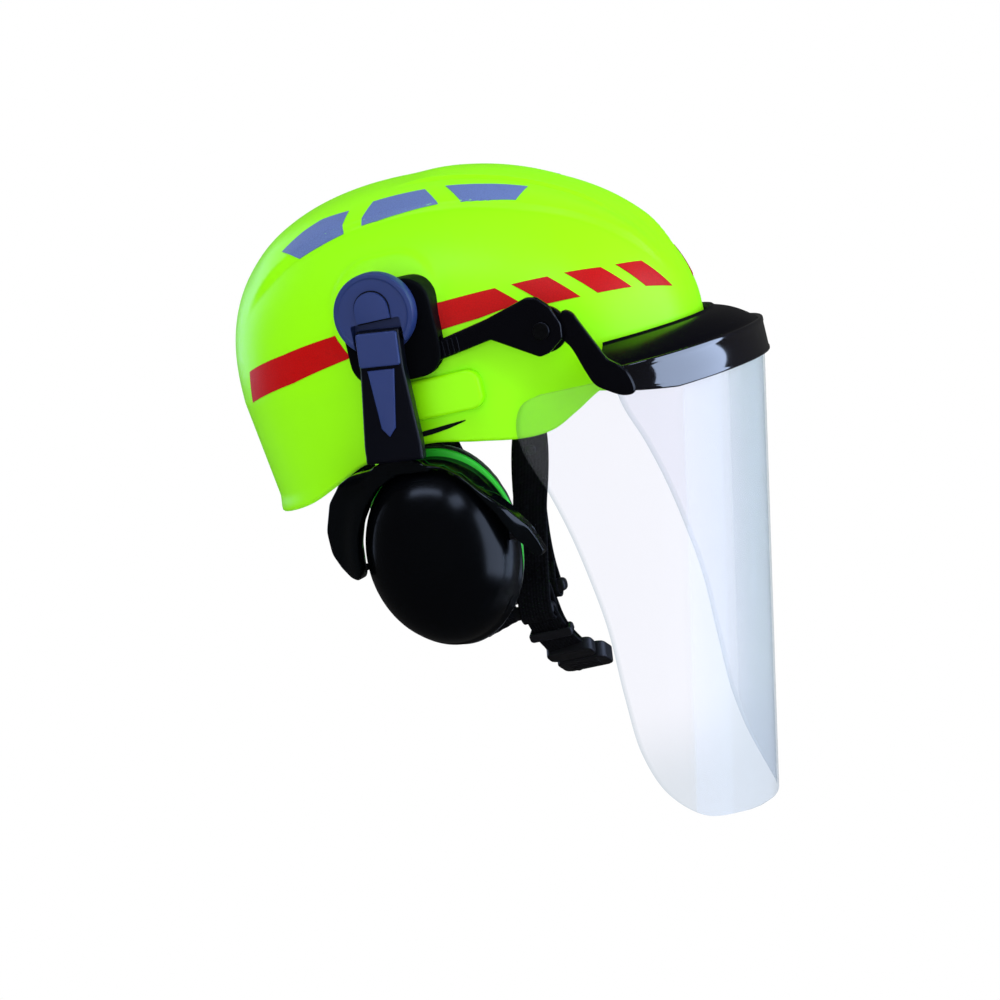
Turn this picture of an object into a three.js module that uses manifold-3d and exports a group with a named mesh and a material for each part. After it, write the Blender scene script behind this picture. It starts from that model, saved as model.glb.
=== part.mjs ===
// Forestry helmet: shell with cradle and headband, two ear muffs, a flip-up visor and a chin strap.
// Millimetres. X points forward, Y to the wearer's left and Z up. The origin is the centre of the
// headband. The right muff is in use and the left one is parked: flipped out and swung back.
import * as THREE from 'three';
import { mergeVertices } from 'three/addons/utils/BufferGeometryUtils.js';
import Module from 'manifold-3d';

const wasm = await Module();
wasm.setup();

// ---------------------------------------------------------------- driving dimensions

const GAP = 0.3;                 // between pieces that rest on each other
const RIGHT = -1;
const LEFT = 1;
const FORWARD = new THREE.Vector3(1, 0, 0);
const SIDEWAYS = new THREE.Vector3(0, 1, 0);

const SHELL = {
  halfLength: 136, halfWidth: 108, height: 106, equator: -5, wall: 3,
  domePower: 2.12, planPower: 2.2, crownShift: 22, egg: 0.03,
  rearTaper: 9, sideTaper: 0.025, lip: 2,
  // height of the rim along X, from the nape to the brow
  rim: [[-137, -71], [-97, -66], [-68, -56], [-50, -49], [-8, -44], [24, -49], [49, -53],
    [66, -52], [80, -45], [96, -36], [137, -30]],
};
const PAD = {
  x: 3.5, z: -19.5, length: 63, height: 23, corner: 8, inner: 104, outer: 111,
  slotLength: 30, slotBottom: -38, slotHeight: 3, slotCorner: 1.4,
};

const DEGREE = Math.PI / 180;
const HEADBAND = {
  halfLength: 98, halfWidth: 78, height: 28, thickness: 2, tilt: 8 * DEGREE, span: 142 * DEGREE,
};
const BROW_PAD = { offset: -6.8, thickness: 6, height: 34, span: 62 * DEGREE };
const NAPE = { height: 18, thickness: 2, side: -12, rear: -44, reach: 118 * DEGREE };
const HOUSING = { halfWidth: 30, halfHeight: 13, back: -114, front: -105, channelHeight: 60 };
const KNOB = {
  back: -120.4, thickness: 6, radius: 15, flutes: 10, fluteDepth: 0.9, shaft: 5, shaftEnd: -110.4,
};
const CRADLE = { foot: 12, crown: 76, width: 20, thickness: 1.6, clearance: 8, level: 0.9, straps: 3 };
const CROWN_PAD = { radius: 38, rim: 34, thickness: 6, drop: 13.5 };

const HUB = {
  x: -12, z: 35, inner: 116.4, outer: 127, radius: 23.7, pin: 4, pinInner: 108, pinOuter: 123.6,
};
const BASE = {
  rear: -36, front: 19, bottom: -6.5, top: 51, inner: 94, outer: 116, corner: 15,
  channelBack: -24, channelBottom: -3, channelTop: 14,
};
const FLIP = { z: 21, out: 123, pin: 2, halfLength: 17 };
const ARM = {
  inner: 119, outer: 130, top: 26, waist: 4, flare: -40, bottom: -50,
  topWidth: 26, bottomWidth: 34, lean: 6 * DEGREE,
};
const TONGUE = { inner: 122, outer: 126.5, width: 20, top: -22, bottom: -56, play: 0.5 };
const CUP = {
  x: -11.5, z: -106.5, halfWidth: 45, halfHeight: 54, inner: 100.4, outer: 142, wall: 2.6, power: 2.1,
  tiltZ: -106, tiltOut: 112, tilt: 5 * DEGREE, trunnion: 2, trunnionFrom: 42, trunnionTo: 53,
};
const YOKE = {
  inner: 107, outer: 126,
  // from the front end over the top to the rear end, then back along the cup
  outline: [[45, -121], [50, -116], [40.5, -95.5], [29.5, -82], [17, -66.5], [4, -57], [-12, -52.5],
    [-30, -51.5], [-46, -51.5], [-58, -56], [-68, -67.5], [-73.5, -87], [-70.5, -100], [-65, -109],
    [-58, -112.5]],
  inside: [[-54, -106], [-53, -92], [-46, -74], [-32, -61], [-10, -56], [10, -62], [25, -82], [36, -106]],
};
const CUSHION = { inner: 74, outer: 95.6, halfWidth: 43.5, halfHeight: 59.5, ring: 16, rise: 1.5 };
const PLATE = { inner: 96, outer: 100, halfWidth: 45.4, halfHeight: 56.5, ring: 13, rise: 1.8 };
const STANDBY = { swing: 70 * DEGREE, flip: 32 * DEGREE };

const VISOR = {
  pivotX: 79, pivotZ: 4.7, screw: 3, screwHead: 5, centre: 104, reach: 60, halfWidth: 102.6,
  bandTop: -25, bandBottom: -45, bandThickness: 3, sheetGap: 0.4, sheet: 1.2, slant: 0.212,
  linkInner: 103.4, linkOuter: 107.6, armInner: 108.4, armOuter: 112.8,
};
// half outline of the flat sheet: distance along the sheet from its middle, and height
const SHEET_OUTLINE = [[166, -31.5], [178, -35], [184, -46], [180, -62], [166, -87], [154, -112],
  [143, -140], [133, -170], [124, -211], [115, -245], [100, -271], [75, -289], [38, -295.5], [16, -297]];

const STUD = { radius: 4, thickness: 2, z: -36, angles: [-50, 0, 50] };

const WEBBING = { width: 20, thickness: 1.8 };

// ---------------------------------------------------------------- materials

const looks = {
  lime: { color: 0x9ff01c, roughness: 0.2, metalness: 0 },
  green: { color: 0x2fd021, roughness: 0.4, metalness: 0 },
  hub: { color: 0x2c3040, roughness: 0.45, metalness: 0 },
  arm: { color: 0x1a1c22, roughness: 0.4, metalness: 0 },
  gloss: { color: 0x070808, roughness: 0.12, metalness: 0 },
  cushion: { color: 0x0d0d0e, roughness: 0.65, metalness: 0 },
  foam: { color: 0x2a2a2c, roughness: 0.95, metalness: 0 },
  harness: { color: 0x17181a, roughness: 0.6, metalness: 0 },
  frame: { color: 0x141518, roughness: 0.35, metalness: 0 },
  clear: { color: 0xdde3f0, roughness: 0.05, metalness: 0 },
  webbing: { color: 0x0b0b0d, roughness: 0.85, metalness: 0 },
  steel: { color: 0xb4b8bd, roughness: 0.3, metalness: 1 },
};

const helmet = new THREE.Group();

function add(name, geometry, look, parent = helmet) {
  const mesh = new THREE.Mesh(geometry, new THREE.MeshStandardMaterial(looks[look]));
  mesh.name = name;
  parent.add(mesh);
  return mesh;
}

// ---------------------------------------------------------------- geometry helpers

// merges equal vertices, drops collapsed triangles and turns the faces outwards
function closed(source) {
  const bare = new THREE.BufferGeometry();
  bare.setAttribute('position', source.getAttribute('position'));
  if (source.index) bare.setIndex(source.index);
  const merged = mergeVertices(bare, 1e-3);
  const position = merged.getAttribute('position');
  const faces = [];
  let volume = 0;
  const [a, b, c] = [new THREE.Vector3(), new THREE.Vector3(), new THREE.Vector3()];
  for (let i = 0; i < merged.index.count; i += 3) {
    const face = [0, 1, 2].map((k) => merged.index.getX(i + k));
    if (new Set(face).size < 3) continue;
    faces.push(face);
    [a, b, c].forEach((v, k) => v.fromBufferAttribute(position, face[k]));
    volume += a.dot(b.cross(c));
  }
  if (volume < 0) faces.forEach((face) => face.reverse());
  merged.setIndex(faces.flat());
  return merged;
}

function toManifold(source) {
  const geometry = closed(source);
  return new wasm.Manifold(new wasm.Mesh({
    numProp: 3,
    vertProperties: Float32Array.from(geometry.getAttribute('position').array),
    triVerts: Uint32Array.from(geometry.index.array),
  }));
}

function fromManifold(body) {
  const mesh = body.getMesh();
  const geometry = new THREE.BufferGeometry();
  geometry.setAttribute('position', new THREE.BufferAttribute(mesh.vertProperties, 3));
  geometry.setIndex(Array.from(mesh.triVerts));
  return geometry;
}

const join = (...parts) => fromManifold(parts.map(toManifold).reduce((sum, p) => sum.add(p)));
const cut = (part, ...tools) => fromManifold(tools.map(toManifold)
  .reduce((rest, tool) => rest.subtract(tool), toManifold(part)));

// skin over a row of rings of equal count; the two end rings are capped unless the row is a loop
function loft(rings, loop = false) {
  const count = rings[0].length;
  const points = rings.flat();
  const index = [];
  const steps = loop ? rings.length : rings.length - 1;
  for (let i = 0; i < steps; i += 1) {
    const here = i * count;
    const next = ((i + 1) % rings.length) * count;
    for (let j = 0; j < count; j += 1) {
      const k = (j + 1) % count;
      index.push(here + j, next + j, here + k, here + k, next + j, next + k);
    }
  }
  if (!loop) {
    [[0, true], [(rings.length - 1) * count, false]].forEach(([start, first]) => {
      const middle = new THREE.Vector3();
      for (let j = 0; j < count; j += 1) middle.add(points[start + j]);
      points.push(middle.divideScalar(count));
      for (let j = 0; j < count; j += 1) {
        const pair = [start + j, start + ((j + 1) % count)];
        index.push(...(first ? pair : pair.reverse()), points.length - 1);
      }
    });
  }
  return closed(new THREE.BufferGeometry().setFromPoints(points).setIndex(index));
}

// smooth height over x through [x, height] knots
function through(knots) {
  const slope = (i) => {
    const before = knots[Math.max(i - 1, 0)];
    const after = knots[Math.min(i + 1, knots.length - 1)];
    return (after[1] - before[1]) / (after[0] - before[0]);
  };
  return (x) => {
    const last = knots.length - 1;
    const at = THREE.MathUtils.clamp(x, knots[0][0], knots[last][0]);
    const i = Math.min(knots.findLastIndex((k) => k[0] <= at), last - 1);
    const width = knots[i + 1][0] - knots[i][0];
    const t = (at - knots[i][0]) / width;
    const [t2, t3] = [t * t, t * t * t];
    return (2 * t3 - 3 * t2 + 1) * knots[i][1] + (t3 - 2 * t2 + t) * width * slope(i)
      + (3 * t2 - 2 * t3) * knots[i + 1][1] + (t3 - t2) * width * slope(i + 1);
  };
}

// plate in the XZ plane between two distances out from the centre plane, on one side
function plate(outline, from, to, side, bevel = 0, curveSegments = 4) {
  const geometry = new THREE.ExtrudeGeometry(outline, {
    depth: to - from - 2 * bevel, bevelEnabled: bevel > 0, bevelThickness: bevel,
    bevelSize: bevel, bevelOffset: -bevel, bevelSegments: 1, curveSegments,
  });
  const position = geometry.getAttribute('position');
  for (let i = 0; i < position.count; i += 1) {
    const out = from + bevel + position.getZ(i);
    position.setXYZ(i, position.getX(i), side * out, position.getY(i));
  }
  return geometry;
}

const polygon = (points) => new THREE.Shape(points.map(([x, z]) => new THREE.Vector2(x, z)));

function roundedRect(left, bottom, right, top, corner) {
  const shape = new THREE.Shape();
  shape.moveTo(left + corner, bottom);
  shape.lineTo(right - corner, bottom);
  shape.absarc(right - corner, bottom + corner, corner, -Math.PI / 2, 0);
  shape.lineTo(right, top - corner);
  shape.absarc(right - corner, top - corner, corner, 0, Math.PI / 2);
  shape.lineTo(left + corner, top);
  shape.absarc(left + corner, top - corner, corner, Math.PI / 2, Math.PI);
  shape.lineTo(left, bottom + corner);
  shape.absarc(left + corner, bottom + corner, corner, Math.PI, 1.5 * Math.PI);
  return shape;
}

function cylinder(from, to, radius, segments = 16) {
  const axis = new THREE.Vector3().subVectors(to, from);
  const geometry = new THREE.CylinderGeometry(radius, radius, axis.length(), segments);
  const turn = new THREE.Quaternion().setFromUnitVectors(SIDEWAYS, axis.clone().normalize());
  const middle = from.clone().add(to).multiplyScalar(0.5);
  return geometry.applyQuaternion(turn).translate(...middle.toArray());
}

const outward = (x, out, z, side) => new THREE.Vector3(x, side * out, z);

// round bar across the helmet between two distances out, on one side
function crossBar(x, z, from, to, radius, side, segments = 16) {
  return cylinder(outward(x, from, z, side), outward(x, to, z, side), radius, segments);
}

// round bar along X at one distance out
function lengthBar(from, to, out, z, radius, side, segments = 12) {
  return cylinder(outward(from, out, z, side), outward(to, out, z, side), radius, segments);
}

// flat strap along a curve; its width lies along the curve's `across` direction
function strap(points, across, width = WEBBING.width, thickness = WEBBING.thickness, steps = 14) {
  const path = new THREE.CatmullRomCurve3(points.map((p) => new THREE.Vector3(...p)));
  const rings = [];
  for (let i = 0; i <= steps; i += 1) {
    const centre = path.getPointAt(i / steps);
    const along = path.getTangentAt(i / steps);
    const wide = across(i / steps).clone();
    wide.addScaledVector(along, -wide.dot(along)).normalize();
    const thick = new THREE.Vector3().crossVectors(along, wide);
    rings.push([[1, 1], [-1, 1], [-1, -1], [1, -1]].map(([w, t]) => centre.clone()
      .addScaledVector(wide, w * width / 2).addScaledVector(thick, t * thickness / 2)));
  }
  return loft(rings);
}

// pieces drawn in the helmet's frame, turned about a pivot by one angle
function turned(parent, pivot, axis, angle) {
  const joint = new THREE.Group();
  joint.position.copy(pivot);
  joint.quaternion.setFromAxisAngle(axis, angle);
  const inside = new THREE.Group();
  inside.position.copy(pivot).negate();
  joint.add(inside);
  parent.add(joint);
  return inside;
}

// ---------------------------------------------------------------- shell

const rimHeight = through(SHELL.rim);

// level runs from 0 at the crown over 1 at the equator to 2 at the rim
function shellPoint(azimuth, level, inset = 0) {
  const dome = Math.min(level, 1) * Math.PI / 2;
  const spread = Math.sin(dome) ** (2 / SHELL.domePower);
  const rise = level < 1 ? Math.cos(dome) ** (2 / SHELL.domePower) : 0;
  const drop = Math.max(level - 1, 0);
  const bend = (v) => Math.sign(v) * Math.abs(v) ** (2 / SHELL.planPower);
  const planX = bend(Math.cos(azimuth));
  const planY = bend(Math.sin(azimuth));
  const wide = (SHELL.halfWidth - inset) * (1 - SHELL.egg * planX) * (1 - SHELL.sideTaper * drop);
  const lip = SHELL.lip * Math.max(drop - 0.85, 0) / 0.15;
  const taper = planX < 0 ? SHELL.rearTaper * drop : 0;
  const x = (SHELL.halfLength - inset - taper + lip) * spread * planX - SHELL.crownShift * rise ** 1.6;
  const dip = rimHeight(SHELL.halfLength * planX) - SHELL.equator;
  const z = SHELL.equator + (SHELL.height - inset) * rise + dip * drop;
  return new THREE.Vector3(x, wide * spread * planY, z);
}

function shellRing(level, inset, segments) {
  return Array.from({ length: segments }, (_, i) => shellPoint(2 * Math.PI * i / segments, level, inset));
}

const shellLevels = [0, 0.17, 0.34, 0.51, 0.67, 0.83, 1, 1.4, 1.85, 2];
const shellSides = 40;

function shellBody(inset) {
  return loft(shellLevels.map((level) => shellRing(level, inset, shellSides)));
}

const outerRings = shellLevels.map((level) => shellRing(level, 0, shellSides));
const innerRings = shellLevels.map((level) => shellRing(level, SHELL.wall, shellSides)).reverse();
let shell = loft([...outerRings, ...innerRings]);
for (const side of [RIGHT, LEFT]) {
  const outline = roundedRect(PAD.x - PAD.length / 2, PAD.z - PAD.height / 2,
    PAD.x + PAD.length / 2, PAD.z + PAD.height / 2, PAD.corner);
  const slot = roundedRect(PAD.x - PAD.slotLength / 2, PAD.slotBottom,
    PAD.x + PAD.slotLength / 2, PAD.slotBottom + PAD.slotHeight, PAD.slotCorner);
  const raised = plate(outline, PAD.inner, PAD.outer, side, 1.5);
  shell = cut(join(shell, raised), plate(slot, PAD.inner - 4, PAD.outer + 5, side));
}
add('shell', shell, 'lime');
const shellOutside = shellBody(-GAP - 0.1);

// ---------------------------------------------------------------- harness inside the shell

// height of the headband's middle line: the band tilts down towards the nape
const bandHeight = (x) => x * Math.tan(HEADBAND.tilt);

function bandRings(from, to, offset, thickness, height, level, steps) {
  return Array.from({ length: steps + 1 }, (_, i) => {
    const angle = from + (to - from) * i / steps;
    const corner = (out, up) => {
      const x = (HEADBAND.halfLength + offset + out) * Math.cos(angle);
      const y = (HEADBAND.halfWidth + offset + out) * Math.sin(angle);
      return new THREE.Vector3(x, y, level(angle, x) + up);
    };
    return [corner(0, -height / 2), corner(thickness, -height / 2), corner(thickness, height / 2),
      corner(0, height / 2)];
  });
}

const headbandLevel = (angle, x) => bandHeight(x);
const headbandStrip = loft(bandRings(-HEADBAND.span, HEADBAND.span, 0, HEADBAND.thickness,
  HEADBAND.height, headbandLevel, 30));
const hangers = [50, 125, -125, -50].map((degrees) => {
  const angle = degrees * DEGREE;
  const x = HEADBAND.halfLength * Math.cos(angle);
  const y = HEADBAND.halfWidth * Math.sin(angle);
  const turn = Math.atan2(Math.sin(angle) / HEADBAND.halfWidth, Math.cos(angle) / HEADBAND.halfLength);
  const hanger = new THREE.BoxGeometry(9, 14, 12).translate(5, 0, 0);
  return hanger.rotateZ(turn).translate(x, y, bandHeight(x) + 4);
});
add('headband', join(headbandStrip, ...hangers), 'harness');

add('brow_pad', loft(bandRings(-BROW_PAD.span, BROW_PAD.span, BROW_PAD.offset, BROW_PAD.thickness,
  BROW_PAD.height, headbandLevel, 16)), 'cushion');

const napeLevel = (angle) => {
  const back = (Math.cos(angle) + 1) / 2;
  return THREE.MathUtils.lerp(NAPE.side, NAPE.rear, back ** 0.7);
};
const napeRings = bandRings(-NAPE.reach, NAPE.reach, 0, NAPE.thickness, NAPE.height, napeLevel, 28)
  .map((ring) => ring.map((p) => new THREE.Vector3(-p.x, p.y, p.z)))
  .map((ring) => ring.map((p) => {
    const radial = new THREE.Vector3(p.x, p.y, 0).normalize();
    return p.addScaledVector(radial, HEADBAND.thickness + GAP);
  }));
add('nape_band', loft(napeRings), 'harness');

const housingOutline = new THREE.Shape();
housingOutline.absellipse(0, 0, HOUSING.halfWidth, HOUSING.halfHeight, 0, 2 * Math.PI);
const acrossRear = new THREE.Matrix4().makeBasis(SIDEWAYS, new THREE.Vector3(0, 0, 1), FORWARD);
const atRear = (x) => new THREE.Vector3(x, 0, NAPE.rear);
const housing = new THREE.ExtrudeGeometry(housingOutline, {
  depth: HOUSING.front - HOUSING.back, bevelEnabled: false, curveSegments: 10,
}).applyMatrix4(acrossRear).translate(HOUSING.back, 0, NAPE.rear);
const housingBore = cylinder(atRear(HOUSING.back - 6), atRear(HOUSING.back + 4), KNOB.shaft + 0.4);
const napeSwept = bandRings(-0.6, 0.6, 0, 2 * NAPE.thickness, HOUSING.channelHeight, () => NAPE.rear, 8)
  .map((ring) => ring.map((p) => new THREE.Vector3(-p.x - HEADBAND.thickness, p.y, p.z)));
add('ratchet_housing', cut(housing, housingBore, loft(napeSwept)), 'harness');

// fluted wheel with a short shaft in the housing's bore
const wheelPoints = 4 * KNOB.flutes;
const wheelOutline = new THREE.Shape(Array.from({ length: wheelPoints }, (_, i) => {
  const angle = 2 * Math.PI * i / wheelPoints;
  const radius = KNOB.radius - KNOB.fluteDepth * (1 - Math.cos(KNOB.flutes * angle)) / 2;
  return new THREE.Vector2(radius * Math.cos(angle), radius * Math.sin(angle));
}));
const wheel = new THREE.ExtrudeGeometry(wheelOutline, { depth: KNOB.thickness, bevelEnabled: false })
  .applyMatrix4(acrossRear).translate(KNOB.back, 0, NAPE.rear);
const shaft = cylinder(atRear(KNOB.back + KNOB.thickness - 0.6), atRear(KNOB.shaftEnd), KNOB.shaft);
add('ratchet_knob', join(wheel, shaft), 'harness');

// three straps cross at the crown; each foot ends in a tab just inside the shell
function cradleStrap(azimuth) {
  const steps = 20;
  const foot = (direction) => {
    const p = shellPoint(direction, CRADLE.level, SHELL.wall + CRADLE.clearance);
    return new THREE.Vector2(p.x, p.y);
  };
  const ends = [foot(azimuth), foot(azimuth + Math.PI)];
  const middle = new THREE.Vector2(-SHELL.crownShift / 2, 0);
  const rings = [];
  for (let i = 0; i <= steps; i += 1) {
    const turn = Math.PI * i / steps;
    const end = turn < Math.PI / 2 ? ends[0] : ends[1];
    const spread = Math.abs(Math.cos(turn)) ** 1.1;
    const flat = middle.clone().lerp(end, spread);
    const z = CRADLE.foot + (CRADLE.crown - CRADLE.foot) * Math.sin(turn) ** 0.9;
    rings.push(new THREE.Vector3(flat.x, flat.y, z));
  }
  const wide = new THREE.Vector3(-Math.sin(azimuth), Math.cos(azimuth), 0);
  return strap(rings.map((p) => p.toArray()), () => wide, CRADLE.width, CRADLE.thickness, 14);
}
const strapPitch = Math.PI / CRADLE.straps;
const legs = Array.from({ length: CRADLE.straps }, (_, i) => cradleStrap(strapPitch * (i + 0.5)));
const tabs = Array.from({ length: 2 * CRADLE.straps }, (_, i) => {
  const azimuth = strapPitch * (i + 0.5);
  const p = shellPoint(azimuth, CRADLE.level, SHELL.wall + CRADLE.clearance);
  const turn = Math.atan2(p.y / SHELL.halfWidth, p.x / SHELL.halfLength);
  return new THREE.BoxGeometry(4, 24, 16).rotateZ(turn).translate(p.x, p.y, CRADLE.foot + 2);
});
add('cradle', join(...legs, ...tabs), 'harness');

const padProfile = [[0, 0], [CROWN_PAD.rim, 0], [CROWN_PAD.radius, CROWN_PAD.thickness / 2],
  [CROWN_PAD.rim, CROWN_PAD.thickness], [0, CROWN_PAD.thickness]];
const crownPad = new THREE.LatheGeometry(padProfile.map(([r, h]) => new THREE.Vector2(r, h)), 24)
  .rotateX(Math.PI / 2);
add('crown_pad', closed(crownPad).translate(-SHELL.crownShift / 2, 0, CRADLE.crown - CROWN_PAD.drop),
  'cushion');

// ---------------------------------------------------------------- ear muffs

// ring of points on an upright oval about the cup's middle
function cupRing(halfWidth, halfHeight, out, side, rise = 0, segments = 24) {
  return Array.from({ length: segments }, (_, i) => {
    const angle = 2 * Math.PI * i / segments;
    const x = CUP.x + halfWidth * Math.cos(angle);
    const z = CUP.z + rise + halfHeight * Math.sin(angle);
    return outward(x, out, z, side);
  });
}

function cupSkin(wall, side) {
  const depth = CUP.outer - CUP.inner - wall;
  const steps = 5;
  return Array.from({ length: steps + 1 }, (_, i) => {
    const turn = Math.PI / 2 * i / steps;
    const shrink = Math.cos(turn) ** (2 / CUP.power);
    const out = CUP.inner + depth * Math.sin(turn) ** (2 / CUP.power);
    const scale = i === steps ? 0 : shrink;
    return cupRing((CUP.halfWidth - wall) * scale, (CUP.halfHeight - wall) * scale, out, side);
  });
}

function cushionPlate(side) {
  const { halfWidth, halfHeight, ring, inner, outer, rise } = PLATE;
  return loft([[0, inner], [0, outer], [ring, outer], [ring, inner]]
    .map(([narrow, out]) => cupRing(halfWidth - narrow, halfHeight - narrow, out, side, rise)), true);
}

function softRing(side) {
  const half = (CUSHION.outer - CUSHION.inner) / 2;
  const middle = CUSHION.inner + half;
  const sections = 8;
  const mid = CUSHION.ring / 2;
  return loft(Array.from({ length: sections }, (_, i) => {
    const turn = 2 * Math.PI * i / sections;
    const bulge = (v) => Math.sign(v) * Math.abs(v) ** 0.75;
    const width = CUSHION.halfWidth - mid + mid * bulge(Math.cos(turn));
    const height = CUSHION.halfHeight - mid + mid * bulge(Math.cos(turn));
    return cupRing(width, height, middle + half * bulge(Math.sin(turn)), side, CUSHION.rise);
  }), true);
}

function earBase(side) {
  const outline = roundedRect(BASE.rear, BASE.bottom, BASE.front, BASE.top, BASE.corner);
  const block = plate(outline, BASE.inner, BASE.outer, side, 1);
  const opening = roundedRect(BASE.channelBack, BASE.channelBottom, BASE.front + 5, BASE.channelTop, 1);
  const channel = plate(opening, VISOR.armInner - 0.4, VISOR.armOuter + 0.4, side);
  const bore = crossBar(HUB.x, HUB.z, HUB.pinInner - 2, BASE.outer + 4, HUB.pin + GAP, side);
  return cut(block, shellOutside, channel, bore);
}

function earDisc(side) {
  const disc = crossBar(HUB.x, HUB.z, HUB.inner, HUB.outer, HUB.radius, side, 32);
  const arch = new THREE.Shape();
  arch.moveTo(HUB.x - 16, 31.6);
  arch.lineTo(HUB.x + 16, 31.6);
  arch.lineTo(HUB.x + 14, 40);
  arch.absarc(HUB.x, 38, 14, 0.14, Math.PI - 0.14);
  const raised = plate(arch, HUB.outer - 1, HUB.outer + 2, side, 0.8);
  const notch = plate(polygon([[-27, 31], [-27, 5], [3, 5], [3, 31]]), 110, 140, side);
  const bore = crossBar(HUB.x, HUB.z, HUB.inner - 6.4, HUB.pinOuter + 0.4, HUB.pin + GAP, side);
  const pinBore = lengthBar(-60, 40, FLIP.out, FLIP.z, FLIP.pin + GAP, side);
  return cut(join(disc, raised), notch, bore, pinBore);
}

// outline in the arm's own frame, which leans back about the flip pin
const leaned = (points) => polygon(points.map(([x, z]) => {
  const [s, c] = [Math.sin(ARM.lean), Math.cos(ARM.lean)];
  const drop = z - FLIP.z;
  return [HUB.x + x * c + drop * s, FLIP.z - x * s + drop * c];
}));

function earArm(side) {
  const top = ARM.topWidth / 2;
  const bottom = ARM.bottomWidth / 2;
  const outline = leaned([[-top, ARM.top], [-top, ARM.waist], [-bottom, ARM.flare], [-bottom, ARM.bottom],
    [bottom, ARM.bottom], [bottom, ARM.flare], [top, ARM.waist], [top, ARM.top]]);
  const body = plate(outline, ARM.inner, ARM.outer, side, 1.5);
  const half = TONGUE.width / 2 + TONGUE.play;
  const pocket = plate(leaned([[-half, 0], [-half, ARM.bottom - 10], [half, ARM.bottom - 10], [half, 0]]),
    TONGUE.inner - TONGUE.play, TONGUE.outer + TONGUE.play, side);
  const pinBore = lengthBar(-60, 40, FLIP.out, FLIP.z, FLIP.pin + GAP, side);
  return cut(body, pocket, pinBore);
}

// broad fork over the cup, with a tongue that slides in the arm
function earYoke(side) {
  const points = (list) => list.map(([x, z]) => new THREE.Vector2(x, z));
  const edge = [YOKE.outline, YOKE.inside]
    .flatMap((list) => new THREE.SplineCurve(points(list)).getPoints(list.length + 2));
  const bow = plate(new THREE.Shape(edge), YOKE.inner, YOKE.outer, side);
  const half = TONGUE.width / 2;
  const tongue = plate(leaned([[-half, TONGUE.top], [-half, TONGUE.bottom], [half, TONGUE.bottom],
    [half, TONGUE.top]]), TONGUE.inner, TONGUE.outer, side);
  const neck = plate(leaned([[-half - 4, ARM.bottom - 1], [-half - 9, TONGUE.bottom - 2],
    [half + 9, TONGUE.bottom - 2], [half + 4, ARM.bottom - 1]]), YOKE.outer - 12, TONGUE.outer, side);
  const tilted = (angle) => loft(cupSkin(-0.7, side)).translate(0, -side * CUP.tiltOut, -CUP.tiltZ)
    .rotateX(angle).translate(0, side * CUP.tiltOut, CUP.tiltZ);
  const bores = lengthBar(-90, 70, CUP.tiltOut, CUP.tiltZ, CUP.trunnion + GAP, side, 10);
  return cut(join(bow, tongue, neck), tilted(0), tilted(CUP.tilt), tilted(-CUP.tilt), bores);
}

function earMuff(side, tag, swing, flip) {
  const hub = new THREE.Vector3(HUB.x, 0, HUB.z);
  add(`ear_base_${tag}`, earBase(side), 'hub');
  add(`hub_pin_${tag}`, crossBar(HUB.x, HUB.z, HUB.pinInner, HUB.pinOuter, HUB.pin, side), 'steel');
  const swivel = turned(helmet, hub, SIDEWAYS, swing);
  add(`ear_disc_${tag}`, earDisc(side), 'hub', swivel);
  const [rear, front] = [HUB.x - FLIP.halfLength, HUB.x + FLIP.halfLength];
  const flipPin = lengthBar(rear, front, FLIP.out, FLIP.z, FLIP.pin, side);
  add(`flip_pin_${tag}`, flipPin, 'steel', swivel);
  const folded = turned(swivel, outward(HUB.x, FLIP.out, FLIP.z, side), FORWARD, side * flip);
  add(`ear_arm_${tag}`, earArm(side), 'arm', folded);
  add(`ear_yoke_${tag}`, earYoke(side), 'gloss', folded);
  const cupOuter = cupSkin(0, side);
  const cupInner = cupSkin(CUP.wall, side).reverse();
  const trunnions = [-1, 1].map((end) => lengthBar(CUP.x + end * CUP.trunnionFrom,
    CUP.x + end * CUP.trunnionTo, CUP.tiltOut, CUP.tiltZ, CUP.trunnion, side, 10));
  add(`cup_shell_${tag}`, join(loft([...cupOuter, ...cupInner], true), ...trunnions), 'gloss', folded);
  const foam = loft([cupRing(31, 40, 102, side), cupRing(33, 42, 106, side), cupRing(30, 38, 120, side),
    cupRing(20, 28, 127, side)]);
  add(`cup_foam_${tag}`, foam, 'foam', folded);
  add(`cushion_plate_${tag}`, cushionPlate(side), 'green', folded);
  add(`ear_cushion_${tag}`, softRing(side), 'cushion', folded);
}

earMuff(RIGHT, 'r', 0, 0);
earMuff(LEFT, 'l', STANDBY.swing, STANDBY.flip);

// ---------------------------------------------------------------- visor

// plan line of the visor: straight side, half oval round the front, straight side
function visorPlan(offset) {
  const reach = VISOR.reach + offset;
  const half = VISOR.halfWidth + offset;
  const plan = new THREE.CurvePath();
  const back = VISOR.centre - 60;
  plan.add(new THREE.LineCurve(new THREE.Vector2(back, -half), new THREE.Vector2(VISOR.centre, -half)));
  plan.add(new THREE.EllipseCurve(VISOR.centre, 0, reach, half, -Math.PI / 2, Math.PI / 2));
  plan.add(new THREE.LineCurve(new THREE.Vector2(VISOR.centre, half), new THREE.Vector2(back, half)));
  return plan;
}

// point on the front half oval; the angle runs from the right side over the front to the left side
function halfOval(angle, offset, z) {
  const x = VISOR.centre + (VISOR.reach + offset) * Math.cos(angle);
  return new THREE.Vector3(x, (VISOR.halfWidth + offset) * Math.sin(angle), z);
}

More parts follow.
